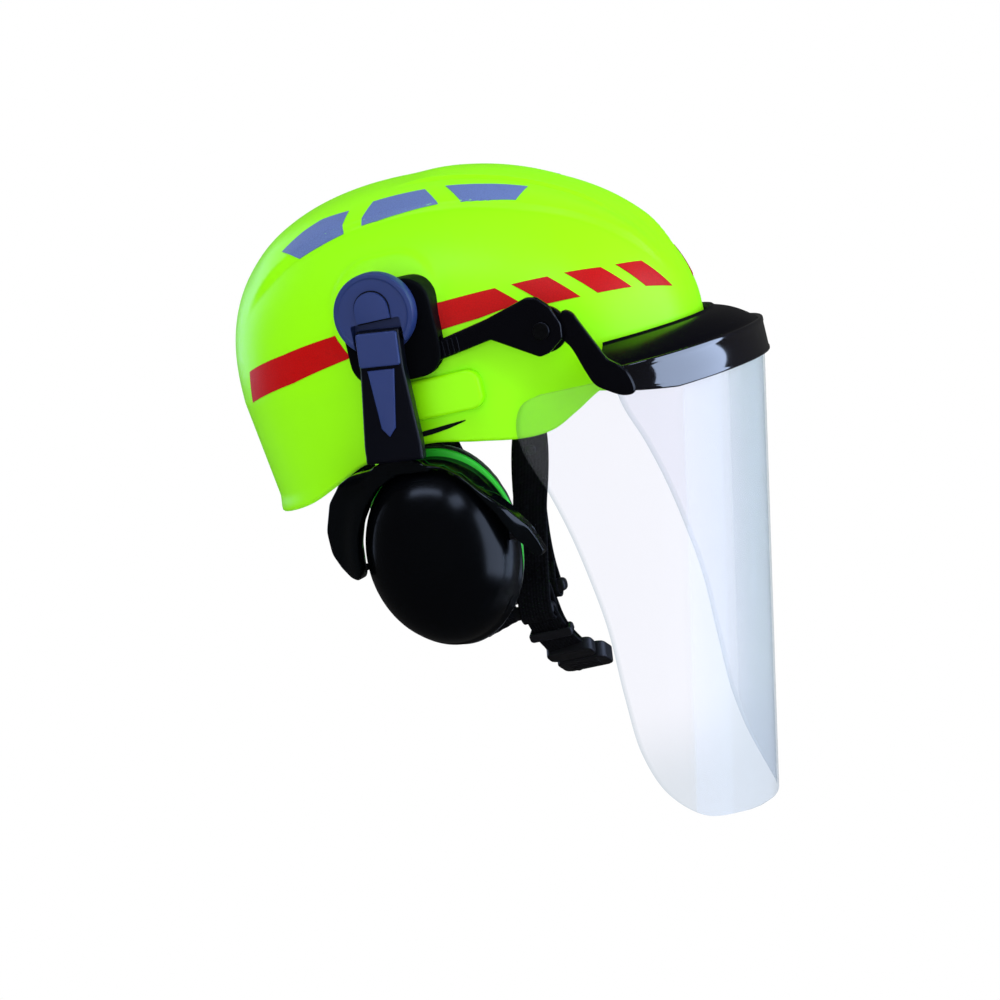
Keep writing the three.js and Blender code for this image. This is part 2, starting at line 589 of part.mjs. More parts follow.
function visorFrame() {
  const steps = 24;
  const thick = VISOR.bandThickness;
  const rings = Array.from({ length: steps + 1 }, (_, i) => {
    const angle = -Math.PI / 2 + Math.PI * i / steps;
    return [halfOval(angle, 0, VISOR.bandBottom), halfOval(angle, thick, VISOR.bandBottom),
      halfOval(angle, thick, VISOR.bandTop), halfOval(angle, 0, VISOR.bandTop)];
  });
  const link = new THREE.Shape();
  link.absarc(VISOR.pivotX, VISOR.pivotZ, 10, 3.6, 1.2, true);
  link.lineTo(92, 13.5);
  link.quadraticCurveTo(96, 12.5, 98.5, 7);
  link.lineTo(107, -11);
  link.quadraticCurveTo(110, -18, 118, VISOR.bandTop);
  link.lineTo(122, -44);
  link.lineTo(101, -34);
  link.quadraticCurveTo(95, -20, 90, -2);
  const bands = [loft(rings)];
  const bores = [];
  const trims = [];
  for (const side of [RIGHT, LEFT]) {
    bands.push(plate(link, VISOR.linkInner, VISOR.linkOuter, side, 0.8));
    bores.push(crossBar(VISOR.pivotX, VISOR.pivotZ, VISOR.linkInner - 3.4, VISOR.armInner + 3.6,
      VISOR.screw + GAP, side));
    const below = polygon([[90, -60], [90, -24], [101, -31], [111, -37.5], [122, -41], [140, -45.01],
      [140, -60]]);
    trims.push(plate(below, 40, 120, side));
  }
  return cut(join(...bands), ...bores, ...trims);
}

function browGuard() {
  const steps = 20;
  const rings = Array.from({ length: steps + 1 }, (_, i) => {
    const angle = -Math.PI / 2 + Math.PI * i / steps;
    const inside = shellPoint(angle * 0.5, 1.1, -4.5);
    const outside = halfOval(angle, -GAP, VISOR.bandTop - 0.4);
    const rimZ = -12;
    return [new THREE.Vector3(inside.x, inside.y, rimZ), outside,
      outside.clone().setZ(outside.z - 2.4), new THREE.Vector3(inside.x, inside.y, rimZ - 2.4)];
  });
  return loft(rings);
}

// clear sheet: a slanted cylinder over the plan line, cut to the flat outline
function visorSheet() {
  const corners = SHEET_OUTLINE.map(([w, z]) => new THREE.Vector3(w, 0, z));
  const outline = new THREE.CatmullRomCurve3(corners, false, 'centripetal');
  const across = 16;
  const rows = 15;
  const faces = [-VISOR.sheetGap, -VISOR.sheetGap - VISOR.sheet].map((offset) => {
    const plan = visorPlan(offset);
    const total = plan.getLength();
    return (along, z) => {
      const p = plan.getPointAt(THREE.MathUtils.clamp(0.5 + along / total, 0, 1));
      return new THREE.Vector3(p.x + VISOR.slant * Math.min(z - VISOR.bandBottom, 0), p.y, z);
    };
  });
  const rings = Array.from({ length: rows + 1 }, (_, i) => {
    const edge = outline.getPoint(i / rows);
    const line = Array.from({ length: across + 1 }, (_, j) => edge.x * (2 * j / across - 1));
    const front = line.map((along) => faces[0](along, edge.z));
    const back = line.reverse().map((along) => faces[1](along, edge.z));
    return [...front, ...back];
  });
  return loft(rings);
}

add('visor_frame', visorFrame(), 'frame');
add('brow_guard', browGuard(), 'frame');
add('visor_sheet', visorSheet(), 'clear');

function visorArm(side) {
  const outline = polygon([[-14, 0], [14, 0], [48, 5.5], [74, -10], [80, -9], [90, -2], [91, 6], [86, 18],
    [80, 24], [74, 25], [48, 17.8], [14, 11.2], [-14, 11.2]]);
  const bore = crossBar(VISOR.pivotX, VISOR.pivotZ, VISOR.armInner - 0.4, VISOR.armOuter + 7.2,
    VISOR.screw + GAP, side);
  return cut(plate(outline, VISOR.armInner, VISOR.armOuter, side, 0.8), bore);
}

for (const [side, tag] of [[RIGHT, 'r'], [LEFT, 'l']]) {
  add(`visor_arm_${tag}`, visorArm(side), 'arm');
  const headAt = VISOR.armOuter + GAP;
  const { pivotX, pivotZ, linkInner, screw, screwHead } = VISOR;
  const shank = crossBar(pivotX, pivotZ, linkInner + 0.2, headAt + 0.9, screw, side);
  const head = crossBar(pivotX, pivotZ, headAt, headAt + 1.5, screwHead, side);
  add(`visor_screw_${tag}`, join(shank, head), 'steel');
}

STUD.angles.forEach((degrees, i) => {
  const angle = degrees * DEGREE;
  const outer = halfOval(angle, -VISOR.sheetGap - VISOR.sheet - 0.4, STUD.z);
  const inwards = new THREE.Vector3(-Math.cos(angle) / VISOR.reach, -Math.sin(angle) / VISOR.halfWidth, 0);
  inwards.normalize();
  outer.addScaledVector(inwards, 0.6);
  const inner = outer.clone().addScaledVector(inwards, STUD.thickness);
  add(`visor_stud_${i + 1}`, cylinder(outer, inner, STUD.radius, 20), 'frame');
});

// ---------------------------------------------------------------- chin strap

// each webbing runs through its knots; the vector is the direction its width lies along
const webbings = {
  front_strap_r: { wide: [1, 0, 0],
    knots: [[52, -90, -34], [48.5, -84, -55], [40.5, -73, -76], [33.5, -67.5, -94], [23.5, -61, -130],
      [20.5, -57.5, -149]] },
  rear_strap_r: { wide: [1, 0, 0.3],
    knots: [[-66, -82, -34], [-59, -72, -58], [-40, -63, -94], [-14, -59.5, -130], [-3, -58.5, -146]] },
  front_strap_l: { wide: [1, 0, 0],
    knots: [[8, 95, -30], [2, 86, -47], [-4, 74, -68], [-8, 67, -92], [-11, 62, -125], [-12, 60, -150]] },
  rear_strap_l: { wide: [1, 0, 0.2],
    knots: [[-66, 82, -34], [-58, 74, -56], [-44, 66, -100], [-36, 62, -130], [-34, 60, -147]] },
  chin_strap_r: { wide: [1, 0, 0.15], steps: 6,
    knots: [[22, -57, -162], [24, -53.5, -171], [26, -47.5, -178]] },
  chin_strap_l: { wide: [1, 0, 0.15], steps: 10,
    knots: [[-15, 59, -163], [-9, 50, -180], [8, 30, -195], [24, 8, -199], [29, -8, -197]] },
};
for (const [name, { wide, knots, steps }] of Object.entries(webbings)) {
  const across = new THREE.Vector3(...wide);
  add(name, strap(knots, () => across, WEBBING.width, WEBBING.thickness, steps), 'webbing');
}

// rounded block: width along X, tilted about X
function slab(width, length, height, corner, centre, tilt) {
  const bevel = 0.6;
  return new THREE.ExtrudeGeometry(roundedRect(-width / 2, -length / 2, width / 2, length / 2, corner), {
    depth: height - 2 * bevel, bevelEnabled: true, bevelThickness: bevel, bevelSize: bevel,
    bevelOffset: -bevel, bevelSegments: 1, curveSegments: 3,
  }).translate(0, 0, bevel - height / 2).rotateX(tilt).translate(...centre);
}
add('buckle_plug', slab(28, 12, 8, 4, [27.5, -38.8, -183.8], -0.5), 'harness');
add('buckle_socket', slab(30, 20, 10, 5, [29, -21, -191], -0.4), 'harness');
const keeperAt = [23.8, -54.2, -170.2];
const keeper = slab(26, 6, 8, 2, keeperAt, -1.18);
add('strap_keeper', cut(keeper, slab(21.8, 14, 5.8, 0.8, keeperAt, -1.1)), 'harness');
add('strap_divider_r', slab(42, 8, 8, 3, [9, -57.6, -155.6], Math.PI / 2 - 0.1), 'harness');
add('strap_divider_l', slab(48, 8, 8, 3, [-22, 60, -155.6], Math.PI / 2), 'harness');

export default helmet;
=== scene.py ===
"""Looks of the forestry helmet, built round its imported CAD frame.

Shapes are worked out in millimetres in the CAD's own frame and turned into metres when a mesh is made.
"""
import math

import bmesh
import bpy
import numpy as np
from mathutils import Matrix, Vector, noise
from mathutils.bvhtree import BVHTree


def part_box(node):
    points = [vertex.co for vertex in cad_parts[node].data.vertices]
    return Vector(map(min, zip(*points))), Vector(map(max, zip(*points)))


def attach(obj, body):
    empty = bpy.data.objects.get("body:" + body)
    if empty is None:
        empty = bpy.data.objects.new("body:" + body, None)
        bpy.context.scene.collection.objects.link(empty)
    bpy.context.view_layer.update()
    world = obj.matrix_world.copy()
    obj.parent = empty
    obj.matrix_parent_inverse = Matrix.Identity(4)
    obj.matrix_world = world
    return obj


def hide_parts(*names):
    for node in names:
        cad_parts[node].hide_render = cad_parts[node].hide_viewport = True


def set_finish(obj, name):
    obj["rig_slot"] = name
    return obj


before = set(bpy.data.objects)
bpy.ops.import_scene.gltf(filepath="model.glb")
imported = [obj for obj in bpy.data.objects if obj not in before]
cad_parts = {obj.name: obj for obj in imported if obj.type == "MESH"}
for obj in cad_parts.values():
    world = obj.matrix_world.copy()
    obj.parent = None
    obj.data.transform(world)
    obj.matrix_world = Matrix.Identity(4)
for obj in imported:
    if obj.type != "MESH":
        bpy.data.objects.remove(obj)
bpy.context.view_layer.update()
scene = bpy.context.scene

MM = 0.001
RIGHT, LEFT = -1, 1
PI = math.pi

# ---------------------------------------------------------------- driving dimensions, as in the CAD

SHELL = {
    "half_length": 136, "half_width": 108, "height": 106, "equator": -5, "wall": 3, "dome_power": 2.12,
    "plan_power": 2.2, "crown_shift": 22, "egg": 0.03, "rear_taper": 9, "side_taper": 0.025, "lip": 2,
}
RIM = [(-137, -71), (-97, -66), (-68, -56), (-50, -49), (-8, -44), (24, -49), (49, -53), (66, -52), (80, -45),
       (96, -36), (137, -30)]
PAD = {"x": 3.5, "z": -19.5, "length": 63, "height": 23, "corner": 8, "outer": 111}
HUB = Vector((-12, 0, 35))
FLIP = Vector((-12, 123, 21))
ARM_LEAN = math.radians(6)
CUP = {"x": -11.5, "z": -106.5, "half_width": 45, "half_height": 54, "inner": 100.4, "outer": 142,
       "wall": 2.6, "power": 2.1, "tilt_out": 112, "tilt_z": -106}
CUSHION = {"inner": 74, "outer": 95.6, "half_width": 43.5, "half_height": 59.5, "ring": 16, "rise": 1.5}
PLATE = {"inner": 96, "outer": 100, "half_width": 45.4, "half_height": 56.5, "ring": 13, "rise": 1.8}
STANDBY_SWING = math.radians(70)
STANDBY_FLIP = math.radians(32)
HEADBAND = {"half_length": 98, "half_width": 78, "height": 28, "thickness": 2, "tilt": math.radians(8)}
CRADLE = {"foot": 12, "crown": 76, "width": 20, "clearance": 8}
CRADLE_OFFSET = -SHELL["wall"] - CRADLE["clearance"]
VISOR = {"pivot_x": 79, "pivot_z": 4.7, "centre": 104, "reach": 60, "half_width": 102.6, "top": -25,
         "bottom": -45, "thickness": 3, "gap": 0.4, "sheet": 1.2, "slant": 0.212, "link_inner": 103.4,
         "link_outer": 107.6}
KNUCKLE = {"span": (103.6, 107.5), "radius": 13.5}
SHEET_OUTLINE = [(166, -31.5), (178, -35), (184, -46), (180, -62), (166, -87), (154, -112), (143, -140),
                 (133, -170), (124, -211), (115, -245), (100, -271), (75, -289), (38, -295.5), (16, -297)]

# ---------------------------------------------------------------- camera and light

CAMERA = {"azimuth": 18.2, "elevation": 4.8, "roll": 13.6, "distance": 6.0, "field": 0.578,
          "aim_right": 0.0168, "aim_up": -0.0925}


def make_camera():
    a, e, roll = (math.radians(CAMERA[k]) for k in ("azimuth", "elevation", "roll"))
    level = Vector((math.cos(a), math.sin(a), 0))
    upright = Vector((-math.sin(a) * math.sin(e), math.cos(a) * math.sin(e), math.cos(e)))
    right = level * math.cos(roll) - upright * math.sin(roll)
    up = level * math.sin(roll) + upright * math.cos(roll)
    back = right.cross(up)
    data = bpy.data.cameras.new("camera")
    data.sensor_width = 36
    data.lens = 36 * CAMERA["distance"] / CAMERA["field"]
    data.clip_start, data.clip_end = 0.1, 100
    camera = bpy.data.objects.new("camera", data)
    scene.collection.objects.link(camera)
    aim = right * CAMERA["aim_right"] + up * CAMERA["aim_up"]
    turn = Matrix((right, up, back)).transposed()
    camera.matrix_world = Matrix.Translation(aim + back * CAMERA["distance"]) @ turn.to_4x4()
    scene.camera = camera


make_camera()
scene.view_settings.view_transform = "Standard"

MIDDLE = Vector((0, 0, -0.06))               # metres
COOL = (0.60, 0.74, 1.05)


def soft_box(name, azimuth, elevation, distance, size, radiance, colour=(1, 1, 1), mirrored=True):
    """A rectangular light that faces the helmet from a compass direction; 0 is ahead of the wearer.

    A light that is not mirrored only lights, and shows in no reflection.
    """
    a, e = math.radians(azimuth), math.radians(elevation)
    towards = Vector((math.cos(a) * math.cos(e), math.sin(a) * math.cos(e), math.sin(e)))
    data = bpy.data.lights.new(name, "AREA")
    data.shape = "RECTANGLE"
    data.size, data.size_y = size
    data.energy = radiance * PI * size[0] * size[1]
    data.color = colour
    light = bpy.data.objects.new(name, data)
    light.location = MIDDLE + towards * distance
    light.rotation_euler = towards.to_track_quat("Z", "Y").to_euler()
    light.visible_camera = False
    light.visible_glossy = mirrored
    scene.collection.objects.link(light)


soft_box("front_box", 8, -4, 2.0, (2.4, 2.3), 3.8, COOL)
soft_box("blade_box", -38, 42, 2.2, (0.7, 0.5), 5.0, COOL)
soft_box("top_box", -97, 62, 2.2, (1.6, 0.3), 6.0, COOL)
soft_box("rear_box", 150, 20, 2.4, (1.4, 1.8), 2.5, COOL)
soft_box("fill_top", -60, 62, 2.6, (2.6, 2.6), 0.75, mirrored=False)
soft_box("fill_side", -95, 8, 2.6, (2.8, 2.0), 1.45, mirrored=False)
soft_box("fill_front", 15, 28, 2.6, (2.4, 2.0), 0.8, mirrored=False)
soft_box("fill_rear", 100, 35, 2.8, (3.0, 2.4), 1.5, mirrored=False)


def make_world():
    world = bpy.data.worlds.new("studio")
    world.use_nodes = True
    nodes, links = world.node_tree.nodes, world.node_tree.links
    background = nodes["Background"]
    path = nodes.new("ShaderNodeLightPath")
    strength = 0.42
    for ray, level in (("Is Glossy Ray", 0.04), ("Is Camera Ray", 1.0)):
        pick = nodes.new("ShaderNodeMapRange")
        links.new(path.outputs[ray], pick.inputs["Value"])
        if isinstance(strength, float):
            pick.inputs["To Min"].default_value = strength
        else:
            links.new(strength, pick.inputs["To Min"])
        pick.inputs["To Max"].default_value = level
        strength = pick.outputs["Result"]
    links.new(strength, background.inputs["Strength"])
    background.inputs["Color"].default_value = (1, 1, 1, 1)
    scene.world = world


make_world()

# ---------------------------------------------------------------- materials


class Finish:
    """A Principled material that is built up node by node."""

    def __init__(self, name, colour, roughness, **sockets):
        self.material = bpy.data.materials.new(name)
        self.material.use_nodes = True
        self.nodes = self.material.node_tree.nodes
        self.links = self.material.node_tree.links
        self.shader = self.nodes["Principled BSDF"]
        self.feed(self.shader, Base_Color=(*colour, 1), Roughness=roughness, **sockets)
        self.height = None
        self.place = self.add("TexCoord").outputs["Object"]

    def feed(self, node, **sockets):
        """Gives a node's inputs a value or a link; a name's spaces are written as underscores."""
        for name, value in sockets.items():
            self.join(node.inputs[name.replace("_", " ")], value)
        return node

    def join(self, socket, value):
        if isinstance(value, bpy.types.NodeSocket):
            self.links.new(value, socket)
        else:
            socket.default_value = value

    def add(self, kind, **sockets):
        return self.feed(self.nodes.new("ShaderNode" + kind), **sockets)

    def noise(self, scale, detail=3.0, rough=0.5):
        texture = self.add("TexNoise", Vector=self.place, Scale=scale, Detail=detail, Roughness=rough)
        return texture.outputs["Fac"]

    def cells(self, scale, feature="F1"):
        texture = self.add("TexVoronoi", Vector=self.place, Scale=scale)
        texture.feature = feature
        return texture.outputs["Distance"]

    def wave(self, scale, direction, place=None):
        texture = self.add("TexWave", Vector=place or self.place, Scale=scale)
        texture.bands_direction = direction
        return texture.outputs["Fac"]

    def attribute(self, name, output):
        node = self.add("Attribute")
        node.attribute_name = name
        return node.outputs[output]

    def combine(self, a, b, how="MULTIPLY"):
        node = self.add("Math")
        node.operation = how
        self.join(node.inputs[0], a)
        self.join(node.inputs[1], b)
        return node.outputs[0]

    def spread(self, value, low, high, bottom=0.0, top=1.0):
        """A value moved from the range bottom to top into the range low to high."""
        node = self.add("MapRange", Value=value, From_Min=bottom, From_Max=top, To_Min=low, To_Max=high)
        return node.outputs["Result"]

    def blend(self, share, first, second):
        """A colour between two, each given as numbers or as another node's output."""
        node = self.add("Mix")
        node.data_type = "RGBA"
        for socket, value in ((0, share), (6, first), (7, second)):
            self.join(node.inputs[socket], (*value, 1) if isinstance(value, tuple) else value)
        return node.outputs[2]

    def tint(self, share, first, second):
        self.feed(self.shader, Base_Color=self.blend(share, first, second))
        return self

    def rough(self, value, low, high):
        self.feed(self.shader, Roughness=self.spread(value, low, high, 0.3, 0.7))
        return self

    def bump(self, value, distance, strength=1.0):
        """Adds relief; distance is the height in millimetres of the texture's full range."""
        node = self.add("Bump", Height=value, Distance=distance * MM, Strength=strength)
        if self.height:
            self.feed(node, Normal=self.height)
        self.height = node.outputs["Normal"]
        self.feed(self.shader, Normal=self.height)
        return self

    def surface(self, share, first, second):
        """Makes a mix of two shaders the material's surface."""
        node = self.add("MixShader")
        for socket, value in zip(node.inputs, (share, first, second)):
            self.join(socket, value)
        self.feed(self.nodes["Material Output"], Surface=node.outputs[0])
        return node.outputs[0]


def moulded(name, colour, second, roughness, grain=0.02, specular=0.5, **sockets):
    """Injection-moulded plastic: a slow change of colour, a fine grain and faint handling marks."""
    f = Finish(name, colour, roughness, Specular_IOR_Level=specular, **sockets)
    f.tint(f.noise(38, 4), colour, second)
    f.rough(f.noise(210, 6, 0.65), roughness * 0.88, roughness * 1.15)
    if grain:
        f.bump(f.noise(1500, 2), grain)
    return f.bump(f.noise(45, 1), 0.03, 0.6).material


def leatherette():
    f = Finish("cushion_skin", (0.010, 0.010, 0.012), 0.42, Sheen_Weight=0.25, Sheen_Roughness=0.4)
    f.tint(f.noise(60, 5), (0.006, 0.006, 0.008), (0.016, 0.016, 0.019))
    f.rough(f.noise(400, 5), 0.34, 0.55)
    f.bump(f.cells(900, "DISTANCE_TO_EDGE"), 0.16)
    return f.bump(f.noise(130, 4), 0.5, 0.5).material


BAND_PITCH = 0.314              # a wave texture's scale times its pitch in metres, straight and diagonal
DIAGONAL_PITCH = 0.222


def woven(name, colour, second, pitch):
    """Fabric whose threads cross at the given pitch in millimetres, from the object's own coordinates."""
    f = Finish(name, colour, 0.85, Sheen_Weight=0.4, Sheen_Roughness=0.5)
    scale = BAND_PITCH / (pitch * MM)
    threads = f.combine(f.wave(scale, "X"), f.wave(scale, "Z"))
    threads = f.combine(threads, f.wave(scale, "Y"), "ADD")
    f.tint(f.noise(500, 5), colour, second)
    f.bump(threads, 0.12)
    return f.bump(f.noise(1500, 3), 0.1).material


def webbing():
    """Belt webbing: chevrons along the strap, from the strap's own across and along lengths."""
    f = Finish("webbing", (0.003, 0.003, 0.004), 0.75, Specular_IOR_Level=0.25)
    place = f.attribute("weave", "Vector")
    rows = f.wave(BAND_PITCH / (1.9 * MM), "X", place)
    picks = f.wave(BAND_PITCH / (0.9 * MM), "Y", place)
    twill = f.wave(DIAGONAL_PITCH / (1.2 * MM), "DIAGONAL", place)
    f.tint(f.combine(rows, picks), (0.001, 0.001, 0.0015), (0.006, 0.006, 0.009))
    f.bump(f.combine(picks, f.combine(rows, twill, "ADD")), 0.22)
    return f.bump(f.noise(2200, 2), 0.08).material


def reflective(name, colour, second):
    """Retro-reflective film: small sealed cells under a smooth face."""
    f = Finish(name, colour, 0.4, Specular_IOR_Level=0.15)
    f.tint(f.spread(f.cells(650, "DISTANCE_TO_EDGE"), 0, 1, 0.02, 0.12), second, colour)
    f.rough(f.noise(240, 4), 0.34, 0.46)
    return f.bump(f.noise(60, 1), 0.02, 0.5).material


def foam():
    f = Finish("foam", (0.03, 0.03, 0.033), 0.95)
    f.tint(f.cells(420), (0.012, 0.012, 0.014), (0.06, 0.06, 0.065))
    return f.bump(f.cells(420), 0.9).material


def clear_sheet():
    """Thin clear polycarbonate: see-through, greyer at a slant and along its cut edge, with painted shade low
    down.
    """
    f = Finish("clear_visor", (0.90, 0.90, 0.91), 0.06, IOR=1.5, Specular_IOR_Level=0.5)
    f.rough(f.noise(9, 2), 0.05, 0.09)
    f.bump(f.noise(16, 1), 0.25, 0.5)
    slant = f.spread(f.add("LayerWeight", Blend=0.5).outputs["Facing"], 0.0, 1.0, 0.2, 0.62)
    tint = f.blend(slant, (0.958, 0.960, 0.990), (0.850, 0.885, 0.900))
    # the rim attribute greys the cut edge and also carries the painted shade near the sheet's bottom
    clear = f.add("BsdfTransparent", Color=f.blend(f.attribute("rim", "Fac"), tint, (0.82, 0.85, 0.88)))
    mirrored = f.spread(f.add("Fresnel", IOR=1.5).outputs["Fac"], 0.022, 0.25, 0.12, 1.0)
    f.surface(mirrored, clear.outputs[0], f.shader.outputs[0])
    return f.material


def blackened_steel():
    f = Finish("steel", (0.06, 0.06, 0.065), 0.35, Metallic=1.0)
    f.tint(f.noise(300, 4), (0.045, 0.045, 0.05), (0.09, 0.09, 0.10))
    f.rough(f.noise(900, 5), 0.25, 0.45)
    return f.bump(f.noise(2500, 2), 0.02).material


PLASTICS = {        # colour, second colour, roughness, grain in millimetres, specular level
    "lime_shell": ((0.315, 0.96, 0.002), (0.305, 0.94, 0.002), 0.34, 0, 0.16),
    "green_plate": ((0.03, 0.62, 0.03), (0.025, 0.55, 0.03), 0.35),
    # hub_plastic: dark navy plastic lightened to blue-grey, part own colour and part painted sheen
    "hub_plastic": ((0.018, 0.038, 0.155), (0.014, 0.030, 0.128), 0.42, 0.03),
    "arm_plastic": ((0.0020, 0.0024, 0.006), (0.0015, 0.0018, 0.0045), 0.38, 0.015, 0.25),
    "dull_black": ((0.0015, 0.0018, 0.003), (0.001, 0.0012, 0.002), 0.6, 0.015, 0.08),
    "cup_black": ((0.0012, 0.0015, 0.002), (0.0008, 0.001, 0.0015), 0.2, 0, 0.22),
    "gloss_black": ((0.0015, 0.002, 0.0025), (0.001, 0.0015, 0.002), 0.10, 0, 0.35),
    "frame_plastic": ((0.0015, 0.0015, 0.003), (0.001, 0.001, 0.002), 0.22, 0.004, 0.3),
    "harness_plastic": ((0.004, 0.004, 0.005), (0.006, 0.006, 0.008), 0.45, 0.03, 0.35),
}
MATERIALS = {name: moulded(name, *values) for name, values in PLASTICS.items()}
MATERIALS |= {
    "cushion_skin": leatherette(),
    "soft_pad": woven("soft_pad", (0.008, 0.008, 0.010), (0.020, 0.020, 0.023), 1.1),
    "foam": foam(),
    "webbing": webbing(),
    "clear_visor": clear_sheet(),
    "steel": blackened_steel(),
}
SLOT_OF = {"dull_black": "arm_plastic", "cup_black": "gloss_black"}     # looks that share a record slot
BAND_GLOSS = moulded("band_gloss", (0.002, 0.002, 0.004), (0.0015, 0.0015, 0.003), 0.1, 0, 1.0,
                     Coat_Weight=1.0, Coat_Roughness=0.05)
GREY_FILM = reflective("grey_film", (0.128, 0.185, 0.40), (0.108, 0.156, 0.34))
RED_FILM = reflective("red_film", (0.50, 0.001, 0.001), (0.42, 0.001, 0.001))
# near-black film for the insides of a slot and a groove: painted shade in place of a real recess
PAINTED_SHADE = moulded("painted_shade", (0.002, 0.002, 0.002), (0.001, 0.001, 0.001), 0.9)

# ---------------------------------------------------------------- mesh tools


def smoothstep(t):
    t = np.clip(t, 0, 1)
    return t * t * (3 - 2 * t)


def signed_power(v, power):
    return math.copysign(abs(v) ** power, v)


def circle(count):
    """Cosine and sine of evenly spaced turns."""
    turns = (2 * PI * k / count for k in range(count))
    return [(math.cos(turn), math.sin(turn)) for turn in turns]


def counter_clockwise(outline):
    area = sum(a[0] * b[1] - b[0] * a[1] for a, b in zip(outline, outline[1:] + outline[:1]))
    return outline if area > 0 else outline[::-1]


def mark_creases(mesh, angle=40):
    """Smooth shading, kept sharp where two faces meet at more than the angle."""
    bm = bmesh.new()
    bm.from_mesh(mesh)
    bmesh.ops.recalc_face_normals(bm, faces=bm.faces)
    for face in bm.faces:
        face.smooth = True
    limit = math.radians(angle)
    for edge in bm.edges:
        edge.smooth = len(edge.link_faces) < 2 or edge.calc_face_angle(0) < limit
    bm.to_mesh(mesh)
    bm.free()


def piece(name, skin, look, body, stands_for=(), crease=40):
    """A mesh piece from a skin's points in millimetres and its faces, riding on a body."""
    points, faces = skin
    mesh = bpy.data.meshes.new(name)
    mesh.from_pydata([tuple(c * MM for c in p) for p in points], [], faces)
    mesh.validate()
    mark_creases(mesh, crease)
    return placed(bpy.data.objects.new(name, mesh), look, body, stands_for)


def placed(obj, look, body, stands_for=()):
    """Links an object and gives it its material, slot, body and the nodes it replaces."""
    if obj.name not in scene.collection.objects:
        scene.collection.objects.link(obj)
    obj.data.materials.clear()
    if isinstance(look, str):
        obj.data.materials.append(MATERIALS[look])
        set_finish(obj, SLOT_OF.get(look, look))
    else:
        obj.data.materials.append(look)
    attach(obj, body)
    if stands_for:
        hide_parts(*stands_for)
    return obj


def loft(rings, loop=False, caps=True):
    """Points and faces of a skin over rings of equal count."""
    count = len(rings[0])
    points = [tuple(p) for ring in rings for p in ring]
    faces = []
    for i in range(len(rings) if loop else len(rings) - 1):
        here, there = i * count, (i + 1) % len(rings) * count
        for j in range(count):
            k = (j + 1) % count
            faces.append((here + j, here + k, there + k, there + j))
    if caps and not loop:
        faces.append(tuple(range(count)))
        faces.append(tuple(range(len(points) - count, len(points))))
    return points, faces


def through(knots, x):
    """Smooth height over x through (x, height) knots; x may be an array."""
    xs, ys = (np.array(v, float) for v in zip(*knots))
    last = len(xs) - 1
    slope = np.array([(ys[min(i + 1, last)] - ys[max(i - 1, 0)]) / (xs[min(i + 1, last)] - xs[max(i - 1, 0)])
                      for i in range(last + 1)])
    at = np.clip(x, xs[0], xs[-1])
    i = np.clip(np.searchsorted(xs, at, "right") - 1, 0, last - 1)
    width = xs[i + 1] - xs[i]
    t = (at - xs[i]) / width
    t2, t3 = t * t, t * t * t
    return ((2 * t3 - 3 * t2 + 1) * ys[i] + (t3 - 2 * t2 + t) * width * slope[i]
            + (3 * t2 - 2 * t3) * ys[i + 1] + (t3 - t2) * width * slope[i + 1])


def smooth_line(knots, count):
    """Evenly spaced points on a smooth curve through the knots."""
    knots = [Vector(k) for k in knots]
    knots = [knots[0] * 2 - knots[1], *knots, knots[-1] * 2 - knots[-2]]
    fine = []
    for p0, p1, p2, p3 in zip(knots, knots[1:], knots[2:], knots[3:]):
        d0, d1, d2 = ((b - a).length ** 0.5 for a, b in ((p0, p1), (p1, p2), (p2, p3)))
        out = ((p1 - p0) / d0 - (p2 - p0) / (d0 + d1) + (p2 - p1) / d1) * d1
        into = ((p2 - p1) / d1 - (p3 - p1) / (d1 + d2) + (p3 - p2) / d2) * d1
        for k in range(24):
            t = k / 24
            fine.append(p1 * (2 * t**3 - 3 * t**2 + 1) + out * (t**3 - 2 * t**2 + t)
                        + p2 * (3 * t**2 - 2 * t**3) + into * (t**3 - t**2))
    fine.append(knots[-2])
    run = np.concatenate([[0], np.cumsum([(b - a).length for a, b in zip(fine, fine[1:])])])
    grid = np.array([tuple(p) for p in fine])
    at = np.linspace(0, run[-1], count)
    return [Vector([np.interp(s, run, grid[:, k]) for k in range(grid.shape[1])]) for s in at], run[-1]


def rounded_rect(left, bottom, right, top, corner, steps=8):
    points = []
    middles = [(right - corner, bottom + corner, -90), (right - corner, top - corner, 0),
               (left + corner, top - corner, 90), (left + corner, bottom + corner, 180)]
    for x, z, start in middles:
        for k in range(steps + 1):
            angle = math.radians(start + 90 * k / steps)
            points.append((x + corner * math.cos(angle), z + corner * math.sin(angle)))
    return points


def inset(outline, distance):
    """A closed outline, counter-clockwise, moved inwards by a small distance."""
    moved = []
    for i, (x, z) in enumerate(outline):
        ax, az = outline[i - 1]
        bx, bz = outline[(i + 1) % len(outline)]
        run = Vector((bx - ax, bz - az)).normalized()
        moved.append((x - run.y * distance, z + run.x * distance))
    return moved


def slab_rings(outline, low, high, edge, steps=4):
    """Rings of a plate with rounded edges: (x, z) outline between two distances out."""
    rings = []
    for k in range(steps + 1):
        turn = PI / 2 * k / steps
        rings.append((inset(outline, edge * (1 - math.sin(turn))), low + edge * (1 - math.cos(turn))))
    rings += [(ring, high - (out - low)) for ring, out in reversed(rings)]
    return [[(x, out, z) for x, z in ring] for ring, out in rings]


def side_slab(side, outline, low, high, edge, steps=4):
    """Skin of a rounded plate that faces out of the right or the left of the helmet."""
    return loft([[(x, side * out, z) for x, out, z in ring]
                 for ring in slab_rings(outline, low, high, edge, steps)])


def applied(obj):
    """Applies an object's modifiers to its mesh."""
    graph = bpy.context.evaluated_depsgraph_get()
    mesh = bpy.data.meshes.new_from_object(obj.evaluated_get(graph))
    obj.modifiers.clear()
    obj.data = mesh
    return obj


def coords(mesh):
    flat = np.zeros(len(mesh.vertices) * 3)
    mesh.vertices.foreach_get("co", flat)
    return flat.reshape(-1, 3)


